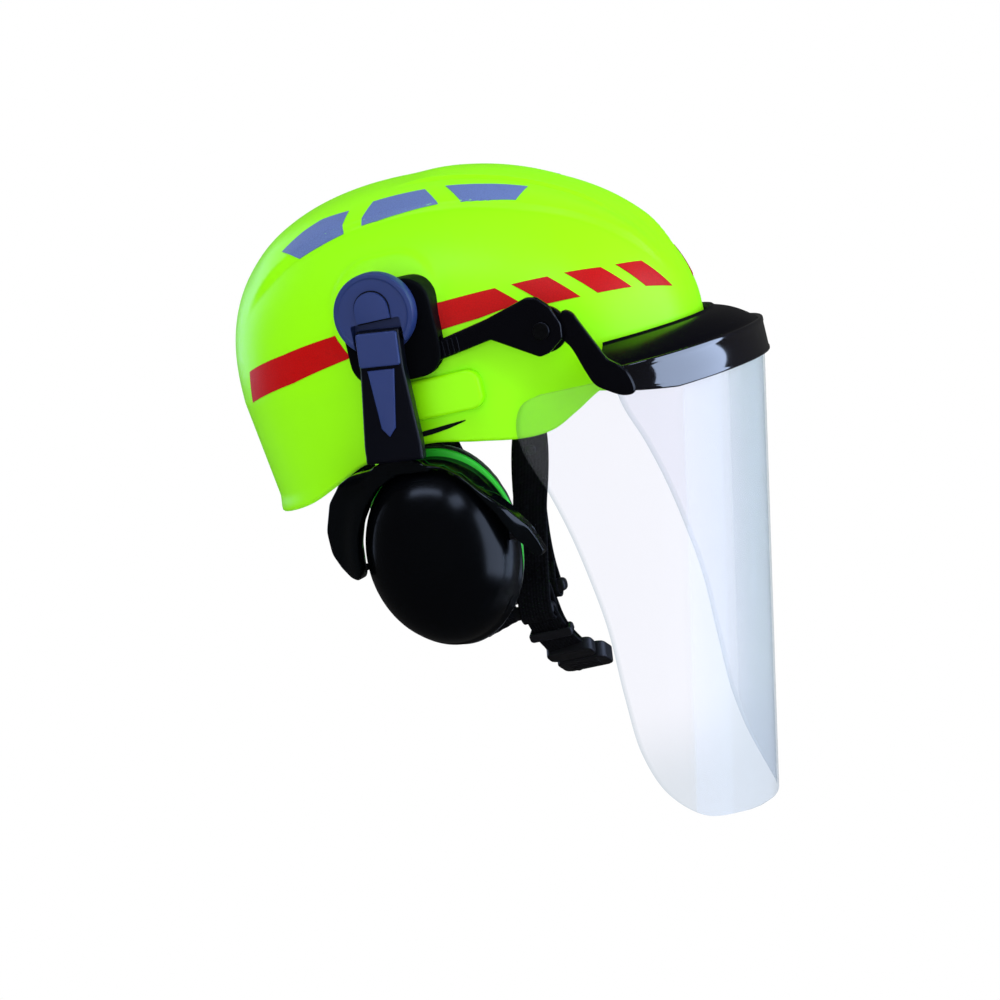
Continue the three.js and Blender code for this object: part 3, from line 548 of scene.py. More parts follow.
def set_coords(obj, points):
    obj.data.vertices.foreach_set("co", np.ascontiguousarray(points, dtype=float).ravel())
    obj.data.update()


def refined(node, name, look, body, voxel=0.8, rounds=6, warp=None):
    """A CAD node with a fine skin and softly rounded edges; warp moves an array of points in millimetres."""
    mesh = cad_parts[node].data.copy()
    bm = bmesh.new()
    bm.from_mesh(mesh)
    bmesh.ops.remove_doubles(bm, verts=bm.verts, dist=0.01 * MM)
    bm.to_mesh(mesh)
    bm.free()
    obj = bpy.data.objects.new(name, mesh)
    scene.collection.objects.link(obj)
    remesh = obj.modifiers.new("remesh", "REMESH")
    remesh.mode = "VOXEL"
    remesh.voxel_size = voxel * MM
    smooth = obj.modifiers.new("smooth", "SMOOTH")
    smooth.factor = 0.5
    smooth.iterations = rounds
    applied(obj)
    if warp:
        set_coords(obj, warp(coords(obj.data) / MM) * MM)
    mark_creases(obj.data, 60)
    return placed(obj, look, body, [node])


# The left muff rests in standby: its hub is swung back, and past the hub its arm is also flipped out.
SWUNG = Matrix.Translation(HUB) @ Matrix.Rotation(STANDBY_SWING, 4, "Y") @ Matrix.Translation(-HUB)
PARK = SWUNG @ Matrix.Translation(FLIP) @ Matrix.Rotation(STANDBY_FLIP, 4, "X") @ Matrix.Translation(-FLIP)
MIRROR = Matrix.Diagonal((1, -1, 1, 1))


def in_metres(matrix):
    moved = matrix.copy()
    for k in range(3):
        moved[k][3] *= MM
    return moved


def left_of(obj, body, stands_for=(), place=None):
    """The left-hand copy of a right-hand piece, mirrored and then moved by place."""
    name = obj.name.replace("_r", "_l") if "_r" in obj.name else obj.name + "_l"
    mesh = obj.data.copy()
    mesh.transform((in_metres(place) if place else Matrix.Identity(4)) @ MIRROR)
    mesh.flip_normals()
    other = bpy.data.objects.new(name, mesh)
    scene.collection.objects.link(other)
    if "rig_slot" in obj:
        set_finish(other, obj["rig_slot"])
    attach(other, body)
    if stands_for:
        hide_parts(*stands_for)
    return other


def puffed(obj, voxel, cap):
    """Inflates a closed piece as cloth; no point moves further than cap millimetres."""
    remesh = obj.modifiers.new("remesh", "REMESH")
    remesh.mode = "VOXEL"
    remesh.voxel_size = voxel * MM
    applied(obj)
    rest = coords(obj.data)
    cloth = obj.modifiers.new("cloth", "CLOTH")
    cloth.settings.quality = 5
    cloth.settings.use_pressure = True
    cloth.settings.uniform_pressure_force = 3.0
    cloth.settings.effector_weights.gravity = 0
    for number in range(1, 21):
        scene.frame_set(number)
    graph = bpy.context.evaluated_depsgraph_get()
    shift = coords(obj.evaluated_get(graph).to_mesh()) - rest
    obj.modifiers.clear()
    scene.frame_set(1)
    length = np.linalg.norm(shift, axis=1, keepdims=True)
    set_coords(obj, rest + shift * np.minimum(1, cap * MM / np.maximum(length, 1e-9)))
    smooth = obj.modifiers.new("smooth", "SMOOTH")
    smooth.factor = 0.5
    smooth.iterations = 3
    subdivide = obj.modifiers.new("subdivide", "SUBSURF")
    subdivide.levels = subdivide.render_levels = 1
    applied(obj)
    for polygon in obj.data.polygons:
        polygon.use_smooth = True


def soft_piece(name, skin, look, body, node, voxel, cap, shape):
    """A closed piece inflated as cloth, then shaped by a function of its points in millimetres."""
    soft = piece(name, skin, look, body, [node])
    puffed(soft, voxel, cap)
    set_coords(soft, shape(coords(soft.data) / MM) * MM)
    return placed(soft, look, body, [node])


def cylinder_rings(start, end, radius, edge=0.4, segments=32):
    """Rings of a pin or disc with rounded rims between two points."""
    start, end = Vector(start), Vector(end)
    axis = (end - start).normalized()
    side = axis.orthogonal().normalized()
    other = axis.cross(side)
    rows = []
    for k in range(4):
        turn = PI / 2 * k / 3
        rows.append((radius - edge * (1 - math.sin(turn)), edge * (1 - math.cos(turn))))
    length = (end - start).length
    rows += [(r, length - d) for r, d in reversed(rows)]
    return [[start + axis * d + (side * c + other * s) * r for c, s in circle(segments)] for r, d in rows]

# ---------------------------------------------------------------- shell


def shell_point(azimuth, level, grow=0.0):
    """Point of the shell's outer face; azimuth and level may be arrays. Level 0 is the crown, 2 the rim."""
    dome = np.minimum(level, 1) * PI / 2
    spread = np.abs(np.sin(dome)) ** (2 / SHELL["dome_power"])
    rise = np.where(level < 1, np.abs(np.cos(dome)) ** (2 / SHELL["dome_power"]), 0)
    drop = np.maximum(level - 1, 0)
    plan_x, plan_y = (np.sign(v) * np.abs(v) ** (2 / SHELL["plan_power"])
                      for v in (np.cos(azimuth), np.sin(azimuth)))
    wide = (SHELL["half_width"] + grow) * (1 - SHELL["egg"] * plan_x) * (1 - SHELL["side_taper"] * drop)
    lip = SHELL["lip"] * smoothstep((drop - 0.85) / 0.15)
    taper = np.where(plan_x < 0, SHELL["rear_taper"] * drop, 0)
    x = (SHELL["half_length"] + grow - taper + lip) * spread * plan_x - SHELL["crown_shift"] * rise**1.6
    dip = through(RIM, SHELL["half_length"] * plan_x) - SHELL["equator"]
    z = SHELL["equator"] + (SHELL["height"] + grow) * rise + dip * drop
    return np.stack(np.broadcast_arrays(x, wide * spread * plan_y, z), -1)


CROWN_EDGE = [(-110, 60), (-87, 66), (-37, 65), (0, 62), (32, 57), (67, 50), (97, 38), (118, 27), (134, 16)]
RIDGE_EDGE = [(-20, 36), (15, 30), (36, 26), (58, 22), (85, 17), (110, 12)]
STRUT_INNER = 107.9             # how far out the visor's struts start


def relief(p):
    """Height in millimetres of the shell's moulded relief at an array of outer points."""
    x, y, z = p[..., 0], np.abs(p[..., 1]), p[..., 2]
    ends = smoothstep((x + 112) / 26) * smoothstep((134 - x) / 24)
    edge = through(CROWN_EDGE, x)
    crown = 2.7 * smoothstep((edge - y) / 3 + 0.5) * ends * smoothstep((z - 5) / 20)
    crown *= 1 - 0.9 * smoothstep((0.8 * edge - y) / (0.6 * edge))
    ridge = 1.7 * smoothstep((through(RIDGE_EDGE, x) - y) / 2.8 + 0.5) * smoothstep((x + 15) / 25)
    ridge *= smoothstep((112 - x) / 22) * (z > 20)
    away = np.hypot(np.maximum(np.abs(x - HUB.x + 1) - 6, 0), np.maximum(np.abs(z - HUB.z) - 4, 0))
    boss = 1.7 * (1 - smoothstep((away - 24) / 4)) * (y > 60)
    boss = np.minimum(boss, np.maximum(STRUT_INNER - y, 0))     # stays clear of the struts
    return crown + ridge + boss


def shell_skin(levels, grow, segments, with_relief):
    azimuth = 2 * PI * np.arange(segments) / segments
    level = np.array(levels)[:, None]
    grid = shell_point(azimuth[None, :], level, grow)
    if not with_relief:
        return grid
    along = np.roll(grid, -1, 1) - np.roll(grid, 1, 1)
    down = np.gradient(grid, axis=0)
    normal = np.cross(down, along)
    normal[0] = (0, 0, 1)
    normal /= np.maximum(np.linalg.norm(normal, axis=-1, keepdims=True), 1e-9)
    outward = np.sign((normal * (grid - np.array((0, 0, -20)))).sum(-1, keepdims=True))
    return grid + normal * outward * relief(grid)[..., None]


def make_shell():
    segments = 320
    upper = np.linspace(0.02, 1, 90)
    lower = np.linspace(1, 2, 44)[1:]
    levels = np.concatenate([upper, lower])
    outer = shell_skin(levels, 0, segments, True)
    inner = shell_skin(levels, -SHELL["wall"], segments, False)
    rows = list(outer)
    for k in range(1, 6):                       # rounded rim between the two skins
        t = k / 6
        rim = outer[-1] * (1 - t) + inner[-1] * t
        rim[:, 2] -= 1.1 * math.sin(PI * t)
        rows.append(rim)
    rows += list(inner[::-1])
    return piece("helmet_shell", loft(rows), "lime_shell", "helmet", ["shell"], 50)


shell = make_shell()
shell_tree = BVHTree.FromPolygons([Vector(v.co) / MM for v in shell.data.vertices],
                                  [tuple(f.vertices) for f in shell.data.polygons])
SHELL_CORE = Vector((0, 0, -10))


def on_shell(p, lift):
    """The point of the shell's outer face in the direction of p, lifted off it."""
    ray = (Vector(p) - SHELL_CORE).normalized()
    hit, normal, _, _ = shell_tree.ray_cast(SHELL_CORE + ray * 300, -ray)
    if normal.dot(ray) < 0:
        normal = -normal
    return hit + normal * lift


def along_edge(corners, t):
    """Point at share t of an edge of two or more corners; each straight part takes the same share."""
    at = t * (len(corners) - 1)
    i = min(int(at), len(corners) - 2)
    return Vector(corners[i]).lerp(Vector(corners[i + 1]), at - i)


def sticker(name, upper, lower, film):
    """A thin film laid on both sides of the shell between an upper and a lower edge, run the same way."""
    across, down = 28, 10
    sheets = []
    for height in (0.12, 0.34):         # the film's two faces over the shell
        for j in range(down + 1):
            row = []
            for i in range(across + 1):
                a, b = along_edge(upper, i / across), along_edge(lower, i / across)
                row.append(on_shell(a.lerp(b, j / down), height))
            sheets.append(row)
    width = across + 1
    points = [tuple(p) for row in sheets for p in row]
    faces = []
    shift = (down + 1) * width
    for j in range(down):
        for i in range(across):
            a = j * width + i
            faces.append((a, a + 1, a + width + 1, a + width))
            faces.append((a + shift, a + width + shift, a + width + 1 + shift, a + 1 + shift))
    edge = [j * width for j in range(down)] + [down * width + i for i in range(across)]
    edge += [j * width + across for j in range(down, 0, -1)] + [i for i in range(across, 0, -1)]
    for a, b in zip(edge, edge[1:] + edge[:1]):
        faces.append((a, b, b + shift, a + shift))
    left_of(piece(name + "_r", (points, faces), film, "helmet", crease=30), "helmet")


def make_stickers():
    sticker("grey_film_1", [(-76, -58, 74), (-63, -54, 82), (-51, -51, 86), (-34, -52, 87)],
            [(-65, -68, 70), (-51, -68, 75), (-37, -66, 78)], GREY_FILM)
    sticker("grey_film_2", [(-20, -49, 89), (-6, -47, 90), (9, -44, 89)],
            [(-26, -65, 81), (-3, -62, 82), (19, -58, 82)], GREY_FILM)
    sticker("grey_film_3", [(20, -41, 88), (41, -36, 84), (62, -29, 77)],
            [(31, -55, 79), (45, -52, 76), (59, -47, 72)], GREY_FILM)
    sticker("red_film_1", [(-112, -67, 14), (-80, -87, 20), (-45, -101, 26)],
            [(-116, -63, -4), (-78, -92, 4), (-37, -104, 12)], RED_FILM)
    sticker("red_film_2", [(11, -101, 31), (31, -98, 32), (51, -92, 32)],
            [(14, -104, 16), (40, -100, 18), (64, -92, 21)], RED_FILM)
    sticker("red_film_3", [(60, -89, 32), (79, -80, 31.5)], [(77, -87, 17), (94, -76, 16)], RED_FILM)
    sticker("red_film_4", [(87, -74, 31), (105, -60, 29)], [(102, -69, 15.5), (117, -52, 13.5)], RED_FILM)
    sticker("red_film_5", [(111, -52, 28), (122, -35, 26)], [(122, -43, 11.5), (131, -21.5, 7)], RED_FILM)


make_stickers()


def make_pads():
    """Raised accessory pad on each side, over a slot that tapers to its front end; the slot is a near-black
    film on the shell, painted shade.
    """
    left, right = PAD["x"] - PAD["length"] / 2, PAD["x"] + PAD["length"] / 2
    low, high = PAD["z"] - PAD["height"] / 2, PAD["z"] + PAD["height"] / 2
    skin = side_slab(RIGHT, rounded_rect(left, low, right, high, PAD["corner"], 12), 98, PAD["outer"], 2.4, 8)
    left_of(piece("shell_pad_r", skin, "lime_shell", "helmet", crease=50), "helmet")
    sticker("pad_slot_shade", [(20, -105, -36.2), (10, -105, -36.4), (0, -105, -37), (-12, -105, -37.6)],
            [(20, -105, -36.8), (10, -105, -38.8), (0, -105, -40), (-12, -105, -40.6)], PAINTED_SHADE)


make_pads()

# ---------------------------------------------------------------- straps and bands


def ribbon(name, knots, across, stands_for, steps, width=20, thickness=1.8):
    """Webbing along a curve, with a rounded selvage on both edges."""
    line, length = smooth_line(knots, steps)
    selvage = 0.9
    half, deep = width / 2 - selvage, thickness / 2
    section = [(half * (1 - 2 * k / 12), deep * (0.86 + 0.14 * math.cos(6 * PI * k / 12))) for k in range(13)]
    edge = [(-half - selvage * math.sin(PI * k / 6), deep * 1.05 * math.cos(PI * k / 6)) for k in range(1, 6)]
    section += edge + [(-w, -t) for w, t in section] + [(-w, -t) for w, t in edge]
    rings, weave = [], []
    for i, centre in enumerate(line):
        along = (line[min(i + 1, steps - 1)] - line[max(i - 1, 0)]).normalized()
        wide = Vector(across) - along * Vector(across).dot(along)
        wide.normalize()
        thick = along.cross(wide)
        rings.append([centre + wide * w + thick * t for w, t in section])
        weave += [(w * MM, length * i / (steps - 1) * MM, 0) for w, _ in section]
    strap = piece(name, loft(rings), "webbing", "helmet", stands_for, crease=70)
    layer = strap.data.attributes.new("weave", "FLOAT_VECTOR", "POINT")
    layer.data.foreach_set("vector", np.array(weave, dtype=np.float32).ravel())


def stitches(name, centre, wide, along):
    """A box of stitches with a cross, drawn by one fine tube of short dashes."""
    width, length, pitch, thread = 14, 9, 2.6, 0.42
    wide, along = Vector(wide).normalized(), Vector(along).normalized()
    normal = wide.cross(along).normalized()
    corners = [Vector(centre) + wide * a * width / 2 + along * b * length / 2
               for a, b in ((-1, -1), (1, -1), (1, 1), (-1, 1))]
    points, faces = [], []
    for a, b in ((0, 1), (1, 2), (2, 3), (3, 0), (0, 2), (1, 3)):
        start, end = corners[a], corners[b]
        count = max(2, int((end - start).length / pitch))
        for k in range(count):
            p, q = start.lerp(end, (k + 0.15) / count), start.lerp(end, (k + 0.85) / count)
            side = (q - p).normalized().cross(normal)
            rings = []
            for share, size in ((0, 0.3), (0.2, 1), (0.8, 1), (1, 0.3)):
                middle = p.lerp(q, share)
                rings.append([middle + (side * c + normal * s) * thread * size for c, s in circle(6)])
            more, extra = loft(rings)
            faces += [tuple(v + len(points) for v in face) for face in extra]
            points += more
    piece(name, (points, faces), "webbing", "helmet")


FORWARD = (1, 0, 0)
STRAPS = {
    "front_strap_r": ([(52, -90, -34), (48.5, -84, -55), (40.5, -73, -76), (33.5, -67.5, -94),
                       (23.5, -61, -130), (21.5, -60.6, -141), (20.5, -62.7, -151), (20.3, -62.8, -158.5),
                       (20.3, -59.5, -161.6), (20.3, -55.2, -160.6), (20.4, -53.2, -154),
                       (21.3, -58.5, -141)], FORWARD),
    "rear_strap_r": ([(-66, -82, -34), (-59, -72, -58), (-40, -63, -94), (-14, -59.5, -130),
                      (-8.5, -60.3, -141), (-5, -62.7, -151), (-3.4, -62.8, -158.5), (-3, -59.5, -161.6),
                      (-3, -55.2, -160.6), (-3.6, -53.2, -154), (-8.2, -58.2, -141)], (1, 0, 0.3)),
    "front_strap_l": ([(8, 95, -30), (2, 86, -47), (-4, 74, -68), (-8, 67, -92), (-11, 62.5, -125),
                       (-11.8, 63, -141), (-12, 65.2, -151), (-12, 65.3, -158.5), (-12, 62, -161.6),
                       (-12, 57.6, -160.6), (-12, 55.6, -154), (-12, 61, -141)], FORWARD),
    "rear_strap_l": ([(-66, 82, -34), (-58, 74, -56), (-44, 66, -100), (-36, 62.5, -130), (-34.6, 63, -141),
                      (-34, 65.2, -151), (-34, 65.3, -158.5), (-34, 62, -161.6), (-34, 57.6, -160.6),
                      (-34, 55.6, -154), (-34.6, 61, -141)], (1, 0, 0.2)),
    "chin_strap_r": ([(21, -58.2, -157), (22, -57, -162), (24, -53.5, -171), (26, -47.5, -178),
                      (27, -42.5, -181.5)], (1, 0, 0.15)),
    "chin_strap_l": ([(-16, 60.6, -157), (-15, 59, -163), (-9, 50, -180), (8, 30, -195), (24, 8, -199),
                      (29, -8, -197), (29.2, -13, -194.5)], (1, 0, 0.15)),
}


def make_straps():
    for name, (knots, across) in STRAPS.items():
        ribbon(name + "_webbing", knots, across, [name], 130)
    for name, top in (("front_strap_r", -42), ("front_strap_l", -40), ("rear_strap_r", -43),
                      ("rear_strap_l", -43)):
        knots, across = STRAPS[name]
        line, _ = smooth_line(knots, 201)
        for height, tag in ((top, "top"), (-134, "end")):
            i = next(k for k, p in enumerate(line) if p.z < height)
            along = (line[i + 1] - line[i - 1]).normalized()
            wide = (Vector(across) - along * Vector(across).dot(along)).normalized()
            out = wide.cross(along).normalized()
            out *= -1 if (out.y > 0) == (line[i].y < 0) else 1
            stitches(f"{name}_stitch_{tag}", line[i] + out * 1.0, wide, along)
    line, _ = smooth_line(STRAPS["front_strap_r"][0], 201)
    snap = next(p for p in line if p.z < -62) + Vector((0, -0.9, -0.2))
    out = Vector((0, -1, -0.35)).normalized()
    for part, radius, low, high in (("snap_cap", 3.2, 0, 1.2), ("snap_dimple", 1.5, 1.0, 1.6)):
        rings = cylinder_rings(snap + out * low, snap + out * high, radius, 0.6, 40)
        piece(part, loft(rings), "steel", "helmet", crease=60)


make_straps()


def band(name, span, offset, thickness, height, level, node, back=False):
    """A flat hoop round the head with softened edges; level gives its height from angle and x."""
    steps, squareness = 160, 0.35
    section = [(thickness / 2 * (1 + signed_power(c, squareness)), height / 2 * signed_power(s, squareness))
               for c, s in circle(24)]
    rings = []
    for i in range(steps + 1):
        angle = -span + 2 * span * i / steps
        ring = []
        for out, up in section:
            x = (HEADBAND["half_length"] + offset + out) * math.cos(angle)
            y = (HEADBAND["half_width"] + offset + out) * math.sin(angle)
            ring.append((-x if back else x, y, level(angle, x) + up))
        rings.append(ring)
    piece(name, loft(rings), "harness_plastic", "helmet", [node], crease=50)


def band_level(_, x):
    return x * math.tan(HEADBAND["tilt"])


def nape_level(angle, _):
    ends, middle = -12, -44
    return ends + (middle - ends) * ((math.cos(angle) + 1) / 2) ** 0.7


def harness_block(name, x, y, z, turn, outline, low, high):
    """A small moulded block that faces out along a turned x axis."""
    place = Matrix.Translation((x, y, z)) @ Matrix.Rotation(turn, 4, "Z")
    rings = slab_rings(outline, low, high, 1.2, 3)
    skin = loft([[place @ Vector((out, side, up)) for side, out, up in ring] for ring in rings])
    piece(name, skin, "harness_plastic", "helmet")


def make_harness():
    long, wide = HEADBAND["half_length"], HEADBAND["half_width"]
    band("headband_strip", math.radians(142), 0, HEADBAND["thickness"], HEADBAND["height"], band_level,
         "headband")
    band("nape_strip", math.radians(118), HEADBAND["thickness"] + 0.3, 2, 18, nape_level, "nape_band",
         back=True)
    for degrees in (50, 125, -125, -50):
        angle = math.radians(degrees)
        x, y = long * math.cos(angle), wide * math.sin(angle)
        turn = math.atan2(math.sin(angle) / wide, math.cos(angle) / long)
        name = f"hanger_{'front' if abs(degrees) < 90 else 'rear'}_{'l' if degrees > 0 else 'r'}"
        harness_block(name, x, y, band_level(0, x) + 4, turn, rounded_rect(-7, -6, 7, 6, 2.5, 4), 1.2, 9.4)
    for number, degrees in enumerate((30, 90, 150), 1):
        make_cradle_strap(number, math.radians(degrees))
    for i in range(6):
        x, y, _ = shell_point(PI / 6 + i * PI / 3, 0.9, CRADLE_OFFSET)
        turn = math.atan2(y / SHELL["half_width"], x / SHELL["half_length"])
        harness_block(f"cradle_clip_{i + 1}", x, y, CRADLE["foot"] + 2, turn,
                      rounded_rect(-12, -8, 12, 8, 3, 5), -2, 2)


def make_cradle_strap(number, azimuth):
    ends = [shell_point(azimuth + turn, 0.9, CRADLE_OFFSET)[:2] for turn in (0, PI)]
    middle = np.array((-SHELL["crown_shift"] / 2, 0))
    knots = []
    for i in range(21):
        turn = PI * i / 20
        end = ends[0] if turn < PI / 2 else ends[1]
        flat = middle + (end - middle) * abs(math.cos(turn)) ** 1.1
        z = CRADLE["foot"] + (CRADLE["crown"] - CRADLE["foot"]) * abs(math.sin(turn)) ** 0.9
        knots.append((flat[0], flat[1], z + (number - 2) * 0.5 * math.sin(turn)))
    across = (-math.sin(azimuth), math.cos(azimuth), 0)
    ribbon(f"cradle_strap_{number}", knots, across, ["cradle"], 120, CRADLE["width"], 1.3)


make_harness()


def make_ratchet():
    refined("ratchet_housing", "ratchet_cover", "harness_plastic", "helmet", 0.7, 8)
    refined("ratchet_knob", "ratchet_wheel", "harness_plastic", "knob", 0.5, 4)
    for number, start, end, radius in ((1, -121.3, -120.2, 9), (2, -120.8, -119.7, 11)):
        skin = loft(cylinder_rings((start, 0, -44), (end, 0, -44), radius, 0.5, 64))
        piece(f"wheel_face_{number}", skin, "arm_plastic", "knob")


make_ratchet()

# ---------------------------------------------------------------- ear muffs

CUP_SEGMENTS = 128


def cup_oval(half_width, half_height, out, rise=0.0, segments=CUP_SEGMENTS, lip=0.0):
    """Ring of an upright oval round the cup's middle; lip widens its lower half."""
    ring = []
    for x, z in circle(segments):
        grow = lip * float(smoothstep(0.1 - 1.2 * z))
        ring.append((CUP["x"] + (half_width + grow) * x, -out, CUP["z"] + rise + (half_height + grow) * z))
    return ring


def cup_rings(wall, steps, groove=0.0):
    """Rings of the cup's dome from its open edge out, with a groove and a lip round the edge."""
    depth = CUP["outer"] - CUP["inner"] - wall
    rings = []
    for i in range(steps):
        turn = PI / 2 * (i / steps) ** 0.85
        shrink = math.cos(turn) ** (2 / CUP["power"])
        out = CUP["inner"] + depth * math.sin(turn) ** (2 / CUP["power"])
        dent = groove * math.exp(-((out - CUP["inner"] - 4.5) / 0.7) ** 2)
        lip = 1.6 * groove * math.exp(-((out - CUP["inner"]) / 3) ** 4)
        rings.append(cup_oval((CUP["half_width"] - wall) * shrink - dent,
                              (CUP["half_height"] - wall) * shrink - dent, out, lip=2 * lip))
    return rings


def make_cup():
    outer_points, faces = loft(cup_rings(0, 56, 0.5), caps=False)
    inner_points, inner_faces = loft(cup_rings(CUP["wall"], 24), caps=False)
    last, tip = len(outer_points) - CUP_SEGMENTS, len(outer_points)
    start = tip + 1
    last_inner, inner_tip = start + len(inner_points) - CUP_SEGMENTS, start + len(inner_points)
    outer_points.append((CUP["x"], -CUP["outer"], CUP["z"]))
    inner_points.append((CUP["x"], -CUP["outer"] + CUP["wall"], CUP["z"]))
    sides = [(j, (j + 1) % CUP_SEGMENTS) for j in range(CUP_SEGMENTS)]
    faces += [(last + j, last + k, tip) for j, k in sides]
    faces += [tuple(v + start for v in face) for face in inner_faces]
    faces += [(last_inner + j, last_inner + k, inner_tip) for j, k in sides]
    faces += [(j, k, start + k, start + j) for j, k in sides]
    cup = piece("ear_cup_r", (outer_points + inner_points, faces), "cup_black", "cup_r", ["cup_shell_r"], 50)
    left_of(cup, "cup_l", ["cup_shell_l"], PARK)
    for end, tag in ((-1, "rear"), (1, "front")):
        rings = cylinder_rings((CUP["x"] + end * 43.5, -CUP["tilt_out"], CUP["tilt_z"]),
                               (CUP["x"] + end * 52, -CUP["tilt_out"], CUP["tilt_z"]), 2, 0.5, 24)
        pin = piece(f"tilt_pin_{tag}_r", loft(rings), "harness_plastic", "cup_r")
        left_of(pin, "cup_l", place=PARK)


def oval_section(part, shrink, power, sections=28, segments=CUP_SEGMENTS):
    """Rings of a hoop with a softened square section round the cup's oval."""
    half = (part["outer"] - part["inner"]) / 2 - shrink
    middle = (part["outer"] + part["inner"]) / 2
    mid = part["ring"] / 2
    rings = []
    for c, s in circle(sections):
        width = (mid - shrink) * signed_power(c, power) - mid
        rings.append(cup_oval(part["half_width"] + width, part["half_height"] + width,
                              middle + half * signed_power(s, power), part["rise"], segments))
    return rings


def make_plate():
    skin = loft(oval_section(PLATE, 0, 0.35), loop=True)
    plate = piece("cushion_ring_r", skin, "green_plate", "cup_r", ["cushion_plate_r"], 60)
    left_of(plate, "cup_l", ["cushion_plate_l"], PARK)


def make_ear_cushion():
    """Sealing ring filled with foam: inflated, then flat where it meets the plate, with a welded seam."""
    low, high = CUSHION["inner"], CUSHION["outer"]

    def tucked(p):
        out = -p[:, 1]
        up = (p[:, 2] - CUP["z"]) / CUSHION["half_height"]
        beside = (p[:, 0] - CUP["x"]) / CUSHION["half_width"]
        tucks = 0.45 * np.sin(np.arctan2(up, beside) * 46)
        tucks *= smoothstep((0.84 - np.hypot(up, beside)) / 0.12) * smoothstep((out - low) / 6)
        p[:, 1] = -np.clip(out + tucks * 0.6, low + 0.2, high)
        return p

    cushion = soft_piece("ear_cushion_skin_r", loft(oval_section(CUSHION, 2.2, 0.72, 20, 96), loop=True),
                         "cushion_skin", "cup_r", "ear_cushion_r", 3.2, 4.5, tucked)
    other = left_of(cushion, "cup_l", ["ear_cushion_l"], PARK)
    rings = []
    for c, s in circle(8):
        grow = 0.8 * c - 1.9
        rings.append(cup_oval(CUSHION["half_width"] + grow, CUSHION["half_height"] + grow,
                              high - 3.6 + 0.8 * s, CUSHION["rise"]))
    seam = piece("ear_cushion_seam_r", loft(rings, loop=True), "cushion_skin", "cup_r")
    left_of(seam, "cup_l", place=PARK)


def make_foam():
    def pitted(p):
        return p + np.array([noise.noise_vector(Vector(q) * 0.35) for q in p]) * 0.5

    block = refined("cup_foam_r", "foam_block_r", "foam", "cup_r", 2.0, 4, pitted)
    other = left_of(block, "cup_l", ["cup_foam_l"], PARK)


def yoke_warp(p):
    """Rounds the fork down over the cup, as a shroud, and moves its two lobes a little apart."""
    out = -p[:, 1]
    beside = p[:, 0] - CUP["x"]
    away = np.hypot(beside / CUP["half_width"], (p[:, 2] - CUP["z"]) / CUP["half_height"])
    below = smoothstep((-52 - p[:, 2]) / 8)
    lift = np.clip((out - 107) / 19, 0, 1)
    q = p.copy()
    q[:, 1] = -(out - 10 * smoothstep((away - 0.92) / 0.38) * below * lift)
    q[:, 0] += np.sign(beside) * smoothstep((np.abs(beside) - 34) / 8) * below
    return q


def arm_warp(p):
    """Gives the arm's outer face a slight crown across its width."""
    out = -p[:, 1]
    across = (p[:, 0] - HUB.x) + (FLIP.z - p[:, 2]) * math.tan(ARM_LEAN)
    q = p.copy()
    q[:, 1] = -(out - 1.5 * (np.abs(across) / 16) ** 2 * np.clip((out - 124) / 6, 0, 1))
    return q


DISC_PROFILE = [(0, 116.6), (22.6, 116.6), (23.7, 117.6), (23.7, 125.2), (23.3, 126.3), (22.4, 126.9),
                (21.2, 127), (20.6, 126.7), (20.2, 126.3), (0, 126.3)]      # radius and distance out


def make_disc():
    """Swivel hub: a stepped face with a notch for the arm and a raised arch above it."""
    rings = []
    for radius, out in DISC_PROFILE:
        radius = max(radius, 0.05)
        rings.append([(HUB.x + radius * c, -out, HUB.z + radius * s) for c, s in circle(96)])
    # the disc's blue-grey is partly painted sheen
    disc = piece("muff_disc_r", loft(rings), "hub_plastic", "hub_r", ["ear_disc_r"], 30)
    notch = side_slab(RIGHT, rounded_rect(-27, -5, 3, 31, 1.2, 4), 119, 135, 0.1, 1)
    cutter = piece("notch_cutter", notch, "hub_plastic", "hub_r")
    cut = disc.modifiers.new("notch", "BOOLEAN")
    cut.operation = "DIFFERENCE"
    cut.solver = "EXACT"
    cut.object = cutter
    applied(disc)
    mark_creases(disc.data, 30)
    bpy.data.objects.remove(cutter)
    left_of(disc, "hub_l", ["ear_disc_l"], SWUNG)
    half = 10
    outline = [(HUB.x - half, 31.4), (HUB.x + half, 31.4)]
    outline += [(HUB.x + half * math.cos(a), 38 + half * math.sin(a)) for a in np.linspace(0, PI, 25)]
    # the arch sits on a slightly wider near-black slab, a painted shadow line for the groove round its foot
    for name, grow, high, look in (("disc_arch_r", 0, 128.6, "hub_plastic"),
                                   ("arch_groove_r", -0.9, 126.42, PAINTED_SHADE)):
        skin = side_slab(RIGHT, inset(outline, grow), 125.8, high, 0.3, 3)
        left_of(piece(name, skin, look, "hub_r", crease=40), "hub_l", place=SWUNG)


def leaned(x, z):
    """From the arm's own outline frame to the helmet's x and z."""
    drop = z - FLIP.z
    return (HUB.x + x * math.cos(ARM_LEAN) + drop * math.sin(ARM_LEAN),
            FLIP.z - x * math.sin(ARM_LEAN) + drop * math.cos(ARM_LEAN))


def make_arm_cap():
    """Raised block over the flip pin, and the shallow rib that runs down from it."""
    # block and rib take the hub's blue-grey, which paints their sheen
    for name, outline, low, high, edge in (
            ("arm_block_r", rounded_rect(-12.2, 5.5, 12.2, 25, 1.6, 5), 128.6, 131.6, 1.1),
            ("arm_rib_r", [(-8, 3.6), (-4.2, -30), (0, -35), (4.2, -30), (8, 3.6)], 128.9, 131.0, 0.9)):
        outline = [leaned(x, z) for x, z in counter_clockwise(outline)]
        skin = side_slab(RIGHT, outline, low, high, edge, 5)
        left_of(piece(name, skin, "hub_plastic", "arm_r", crease=50), "arm_l", place=PARK)


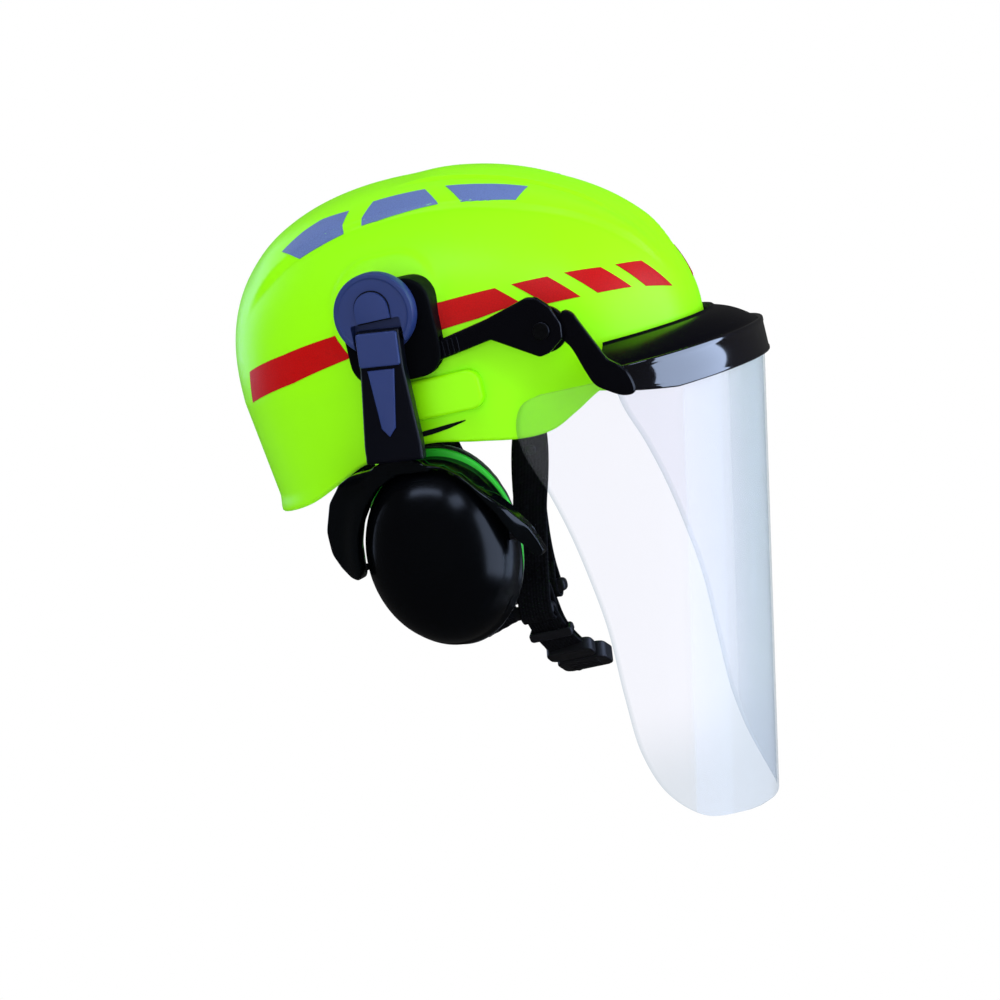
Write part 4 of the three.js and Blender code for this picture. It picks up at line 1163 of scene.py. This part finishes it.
def make_muffs():
    for tag in ("r", "l"):
        refined(f"ear_base_{tag}", f"muff_base_{tag}", "dull_black", "helmet", 0.7, 8)
    make_disc()
    arm = refined("ear_arm_r", "muff_arm_r", "arm_plastic", "arm_r", 0.6, 8, arm_warp)
    left_of(arm, "arm_l", ["ear_arm_l"], PARK)
    yoke = refined("ear_yoke_r", "muff_yoke_r", "gloss_black", "yoke_r", 0.8, 45, yoke_warp)
    left_of(yoke, "yoke_l", ["ear_yoke_l"], PARK)
    make_arm_cap()
    make_cup()
    make_plate()
    make_ear_cushion()
    make_foam()


make_muffs()

# ---------------------------------------------------------------- visor


def half_oval(angle, offset, z):
    """Point of the visor's plan oval; the angle runs from -90 degrees at the right to 90 at the left."""
    return Vector((VISOR["centre"] + (VISOR["reach"] + offset) * math.cos(angle),
                   (VISOR["half_width"] + offset) * math.sin(angle), z))


BAND_FOOT = [(101, -31), (111, -37.5), (122, -41), (140, -45), (170, -45)]       # x and height
LINK_EDGE = [(88.5, 8), (92, 13), (96.5, 11), (99.5, 5), (107, -11), (111, -19), (118, -25), (122, -33),
             (122, -41), (116, -41.5), (107, -37), (100.5, -32), (97, -24), (91.5, -8), (87, -2)]


def band_section(low, high, thickness):
    """Section of the visor's band: out and up, with a bead at the top and a hemmed foot."""
    edge = 1.1

    def corner(up, start):
        turns = [math.radians(start + 15 * k) for k in range(7)]
        return [(thickness - edge + edge * math.cos(turn), up + edge * math.sin(turn)) for turn in turns]

    return [*corner(low + edge, -90), (thickness, low + 2.2), (thickness - 0.35, low + 2.7),
            (thickness - 0.35, high - 3.4), (thickness, high - 2.9), *corner(high - edge, 0),
            (edge, high), (0, high - edge), (0, low + edge), (edge, low)]


def make_visor_band():
    """The band round the top of the clear sheet, and the link on each side that carries it."""
    steps = 200
    rings = []
    for i in range(steps + 1):
        angle = -PI / 2 + PI * i / steps
        low = float(np.interp(half_oval(angle, 0, 0).x, *zip(*BAND_FOOT)))
        section = band_section(low, VISOR["top"], VISOR["thickness"])
        rings.append([half_oval(angle, out, up) for out, up in section])
    band_piece = piece("visor_band", loft(rings), "frame_plastic", "visor", ["visor_frame"], 35)
    band_piece.data.materials[0] = BAND_GLOSS
    eye = 10.2
    edge, _ = smooth_line([(x, z, 0) for x, z in LINK_EDGE], 70)
    outline = [(p.x, p.y) for p in edge]
    outline += [(VISOR["pivot_x"] + eye * math.cos(a), VISOR["pivot_z"] + eye * math.sin(a))
                for a in np.linspace(-0.75, -5.1, 26)]
    outline = counter_clockwise(outline)
    for side, tag in ((RIGHT, "r"), (LEFT, "l")):
        skin = side_slab(side, outline, VISOR["link_inner"], VISOR["link_outer"], 0.9, 4)
        piece(f"visor_link_{tag}", skin, "frame_plastic", "visor", crease=50)


def make_brow_guard():
    """Peak between the shell's brow and the band, crowned, with a sealing bead along the shell."""
    steps, across = 160, 20
    rings = []
    for i in range(steps + 1):
        angle = -PI / 2 + PI * i / steps
        inside = shell_point(angle * 0.5, 1.1, 4.5)
        start = Vector((inside[0], inside[1], -12))
        end = half_oval(angle, -0.3, VISOR["top"] - 0.4)
        top, under = [], []
        for k in range(across + 1):
            t = k / across
            p = start.lerp(end, t)
            swell = 2.6 * math.sin(PI * t) * (0.35 + 0.65 * math.cos(angle) ** 2)
            bead = 1.1 * math.exp(-((t - 0.04) / 0.035) ** 2)
            dip = -0.9 * math.exp(-((t - 0.93) / 0.03) ** 2)
            top.append(p + Vector((0, 0, swell + bead + dip)))
            under.append(p + Vector((0, 0, swell - 2.4)))
        rings.append(top + under[::-1])
    piece("brow_peak", loft(rings), "frame_plastic", "visor", ["brow_guard"], 50)


def visor_plan(offset):
    """The visor's plan line as points and their running length, with straight tails to the rear."""
    half = VISOR["half_width"] + offset
    back = VISOR["centre"] - 60
    line = [(VISOR["centre"] + (VISOR["reach"] + offset) * math.cos(a), half * math.sin(a))
            for a in np.linspace(-PI / 2, PI / 2, 400)]
    line = np.array([(back, -half), *line, (back, half)])
    return line, np.concatenate([[0], np.cumsum(np.linalg.norm(np.diff(line, axis=0), axis=1))])


def make_visor_sheet():
    """The clear sheet, bent round the visor's plan, with its cut edge and a painted shade low down marked for
    the material.
    """
    across, rows = ((180, 130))
    outline, _ = smooth_line([(w, z, 0) for w, z in SHEET_OUTLINE], rows + 1)
    skins = []
    for offset in (-VISOR["gap"], -VISOR["gap"] - VISOR["sheet"]):
        line, run = visor_plan(offset)
        grid = []
        for width, z, _ in outline:
            row = []
            for j in range(across + 1):
                at = run[-1] / 2 + width * (2 * j / across - 1)
                x, y = (float(np.interp(at, run, line[:, k])) for k in (0, 1))
                row.append((x + VISOR["slant"] * min(z - VISOR["bottom"], 0), y, z))
            grid.append(row)
        skins.append(grid)
    points, faces = loft([outer + inner[::-1] for outer, inner in zip(*skins)])
    pane = piece("visor_pane", (points, faces), "clear_visor", "visor", ["visor_sheet"], 50)
    row = [1.0 if j in (0, across) else 0.0 for j in range(across + 1)]
    rim = []
    for i in range(rows + 1):
        rim += [1.0] * (2 * across + 2) if i in (0, rows) else row + row[::-1]
    # rim: the cut edge, plus a grey painted towards the sheet's bottom as shade where it curves under
    heights = np.array([p[2] for p in points])
    shade = np.maximum(rim, 0.75 * smoothstep((-215 - heights) / 60))
    pane.data.attributes.new("rim", "FLOAT", "POINT").data.foreach_set("value", shade)


def make_visor():
    make_visor_band()
    make_brow_guard()
    make_visor_sheet()
    for k in (1, 2, 3):
        refined(f"visor_stud_{k}", f"pane_stud_{k}", "frame_plastic", "visor", 0.4, 3)
    for tag, side in (("r", RIGHT), ("l", LEFT)):
        refined(f"visor_arm_{tag}", f"visor_strut_{tag}", "frame_plastic", "visor_carriage", 0.6, 24)
        refined(f"visor_screw_{tag}", f"pivot_screw_{tag}", "steel", "visor_carriage", 0.35, 2)
        ends = [(VISOR["pivot_x"], side * out, VISOR["pivot_z"]) for out in KNUCKLE["span"]]
        rings = cylinder_rings(*ends, KNUCKLE["radius"], 0.8, 64)
        piece(f"visor_knuckle_{tag}", loft(rings), "frame_plastic", "visor")
        for k in range(4):
            x, rise = 19.5 + 3 * k, 0.33 * k
            outline = rounded_rect(x - 0.8, 2.2 + rise, x + 0.8, 11 + rise, 0.6, 3)
            skin = side_slab(side, outline, 112.2, 113.6, 0.5, 3)
            piece(f"strut_ridge_{k + 1}_{tag}", skin, "frame_plastic", "visor_carriage")


make_visor()

# ---------------------------------------------------------------- pads, buckle and fastenings


def make_brow_pad():
    """Sweat pad inside the headband: puffed cloth with sewn upright channels."""
    long, wide = HEADBAND["half_length"], HEADBAND["half_width"]
    span, steps = math.radians(62), 60
    rings = []
    for i in range(steps + 1):
        angle = -span + 2 * span * i / steps
        ring = []
        for c, s in circle(16):
            out = -3.8 + 2.2 * signed_power(c, 0.7)
            x = (long + out) * math.cos(angle)
            ring.append((x, (wide + out) * math.sin(angle), band_level(0, x) + 15.5 * signed_power(s, 0.6)))
        rings.append(ring)

    def sewn(p):
        pitch = 20.6                    # degrees between channels
        x, y = p[:, 0] / long, p[:, 1] / wide
        flat = np.hypot(x, y)
        past = np.abs(np.degrees(np.arctan2(y, x))) % pitch
        channel = np.exp(-(past / 1.2) ** 2) + np.exp(-((pitch - past) / 1.2) ** 2)
        scale = 1 + 0.016 * channel * smoothstep((0.965 - flat) / 0.02)
        p[:, :2] *= np.minimum(scale, (1 - 1.2 / wide) / np.maximum(flat, 1e-6))[:, None]
        return p

    pad = soft_piece("brow_pad_cover", loft(rings), "soft_pad", "helmet", "brow_pad", 3.0, 2.0, sewn)


def make_crown_pad():
    """Round crown pad: puffed cloth with a sewn ring."""
    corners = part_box("crown_pad")
    low, high = (c.z / MM for c in corners)
    middle = (corners[0] + corners[1]) / 2 / MM
    rings = []
    for radius, z in ((0.5, low + 0.8), (20, low + 0.8), (33, low + 1), (36.3, (low + high) / 2),
                      (33, high - 1), (20, high - 0.8), (0.5, high - 0.8)):
        rings.append([(middle.x + radius * c, middle.y + radius * s, z) for c, s in circle(64)])

    def sewn(p):
        radius = np.hypot(p[:, 0] - middle.x, p[:, 1] - middle.y)
        p[:, 2] += (middle.z - p[:, 2]) * 0.55 * np.exp(-((radius - 20) / 1.6) ** 2)
        return p

    pad = soft_piece("crown_pad_cover", loft(rings), "soft_pad", "helmet", "crown_pad", 3.0, 1.6, sewn)


def make_fastenings():
    for node, name in (("buckle_plug", "buckle_tongue"), ("buckle_socket", "buckle_body"),
                       ("strap_keeper", "keeper_loop"), ("strap_divider_r", "divider_r"),
                       ("strap_divider_l", "divider_l")):
        refined(node, name, "harness_plastic", "helmet", 0.5, 5)
    place = Matrix.Translation((29, -21, -191)) @ Matrix.Rotation(-0.4, 4, "X")
    for k in range(3):
        rings = slab_rings(rounded_rect(-9, -4 + 3.4 * k, 9, -2.4 + 3.4 * k, 0.7, 3), 4.4, 5.6, 0.5, 3)
        for flip, tag in ((1, "front"), (-1, "back")):
            skin = loft([[place @ Vector((x, y, out * flip)) for x, out, y in ring] for ring in rings])
            piece(f"buckle_grip_{k + 1}_{tag}", skin, "harness_plastic", "helmet")


make_brow_pad()
make_crown_pad()
make_fastenings()

for node in ("hub_pin_r", "hub_pin_l", "flip_pin_r", "flip_pin_l"):        # CAD pieces shown as they are
    pin_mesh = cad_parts[node].data
    pin_mesh.materials.clear()
    pin_mesh.materials.append(MATERIALS["steel"])

# ---------------------------------------------------------------- floor


def make_floor():
    """A wide white floor, well below the helmet, which hangs as on a stand; clear from below."""
    half, depth, steps = 30, -0.62, 8           # metres
    row = steps + 1
    points = [(half * (2 * i / steps - 1), half * (2 * j / steps - 1), depth)
              for j in range(row) for i in range(row)]
    corners = [j * row + i for j in range(steps) for i in range(steps)]
    mesh = bpy.data.meshes.new("floor")
    mesh.from_pydata(points, [], [(a, a + 1, a + row + 1, a + row) for a in corners])
    floor = bpy.data.objects.new("floor", mesh)
    scene.collection.objects.link(floor)
    f = Finish("floor", (0.8, 0.8, 0.8), 0.9)
    f.tint(f.noise(3, 2), (0.79, 0.79, 0.79), (0.81, 0.81, 0.81))
    white, clear = (f.add(kind).outputs[0] for kind in ("Emission", "BsdfTransparent"))
    lit = f.surface(f.add("LightPath").outputs["Is Camera Ray"], f.shader.outputs[0], white)
    f.surface(f.add("NewGeometry").outputs["Backfacing"], lit, clear)
    mesh.materials.append(f.material)
    floor.visible_glossy = False


make_floor()
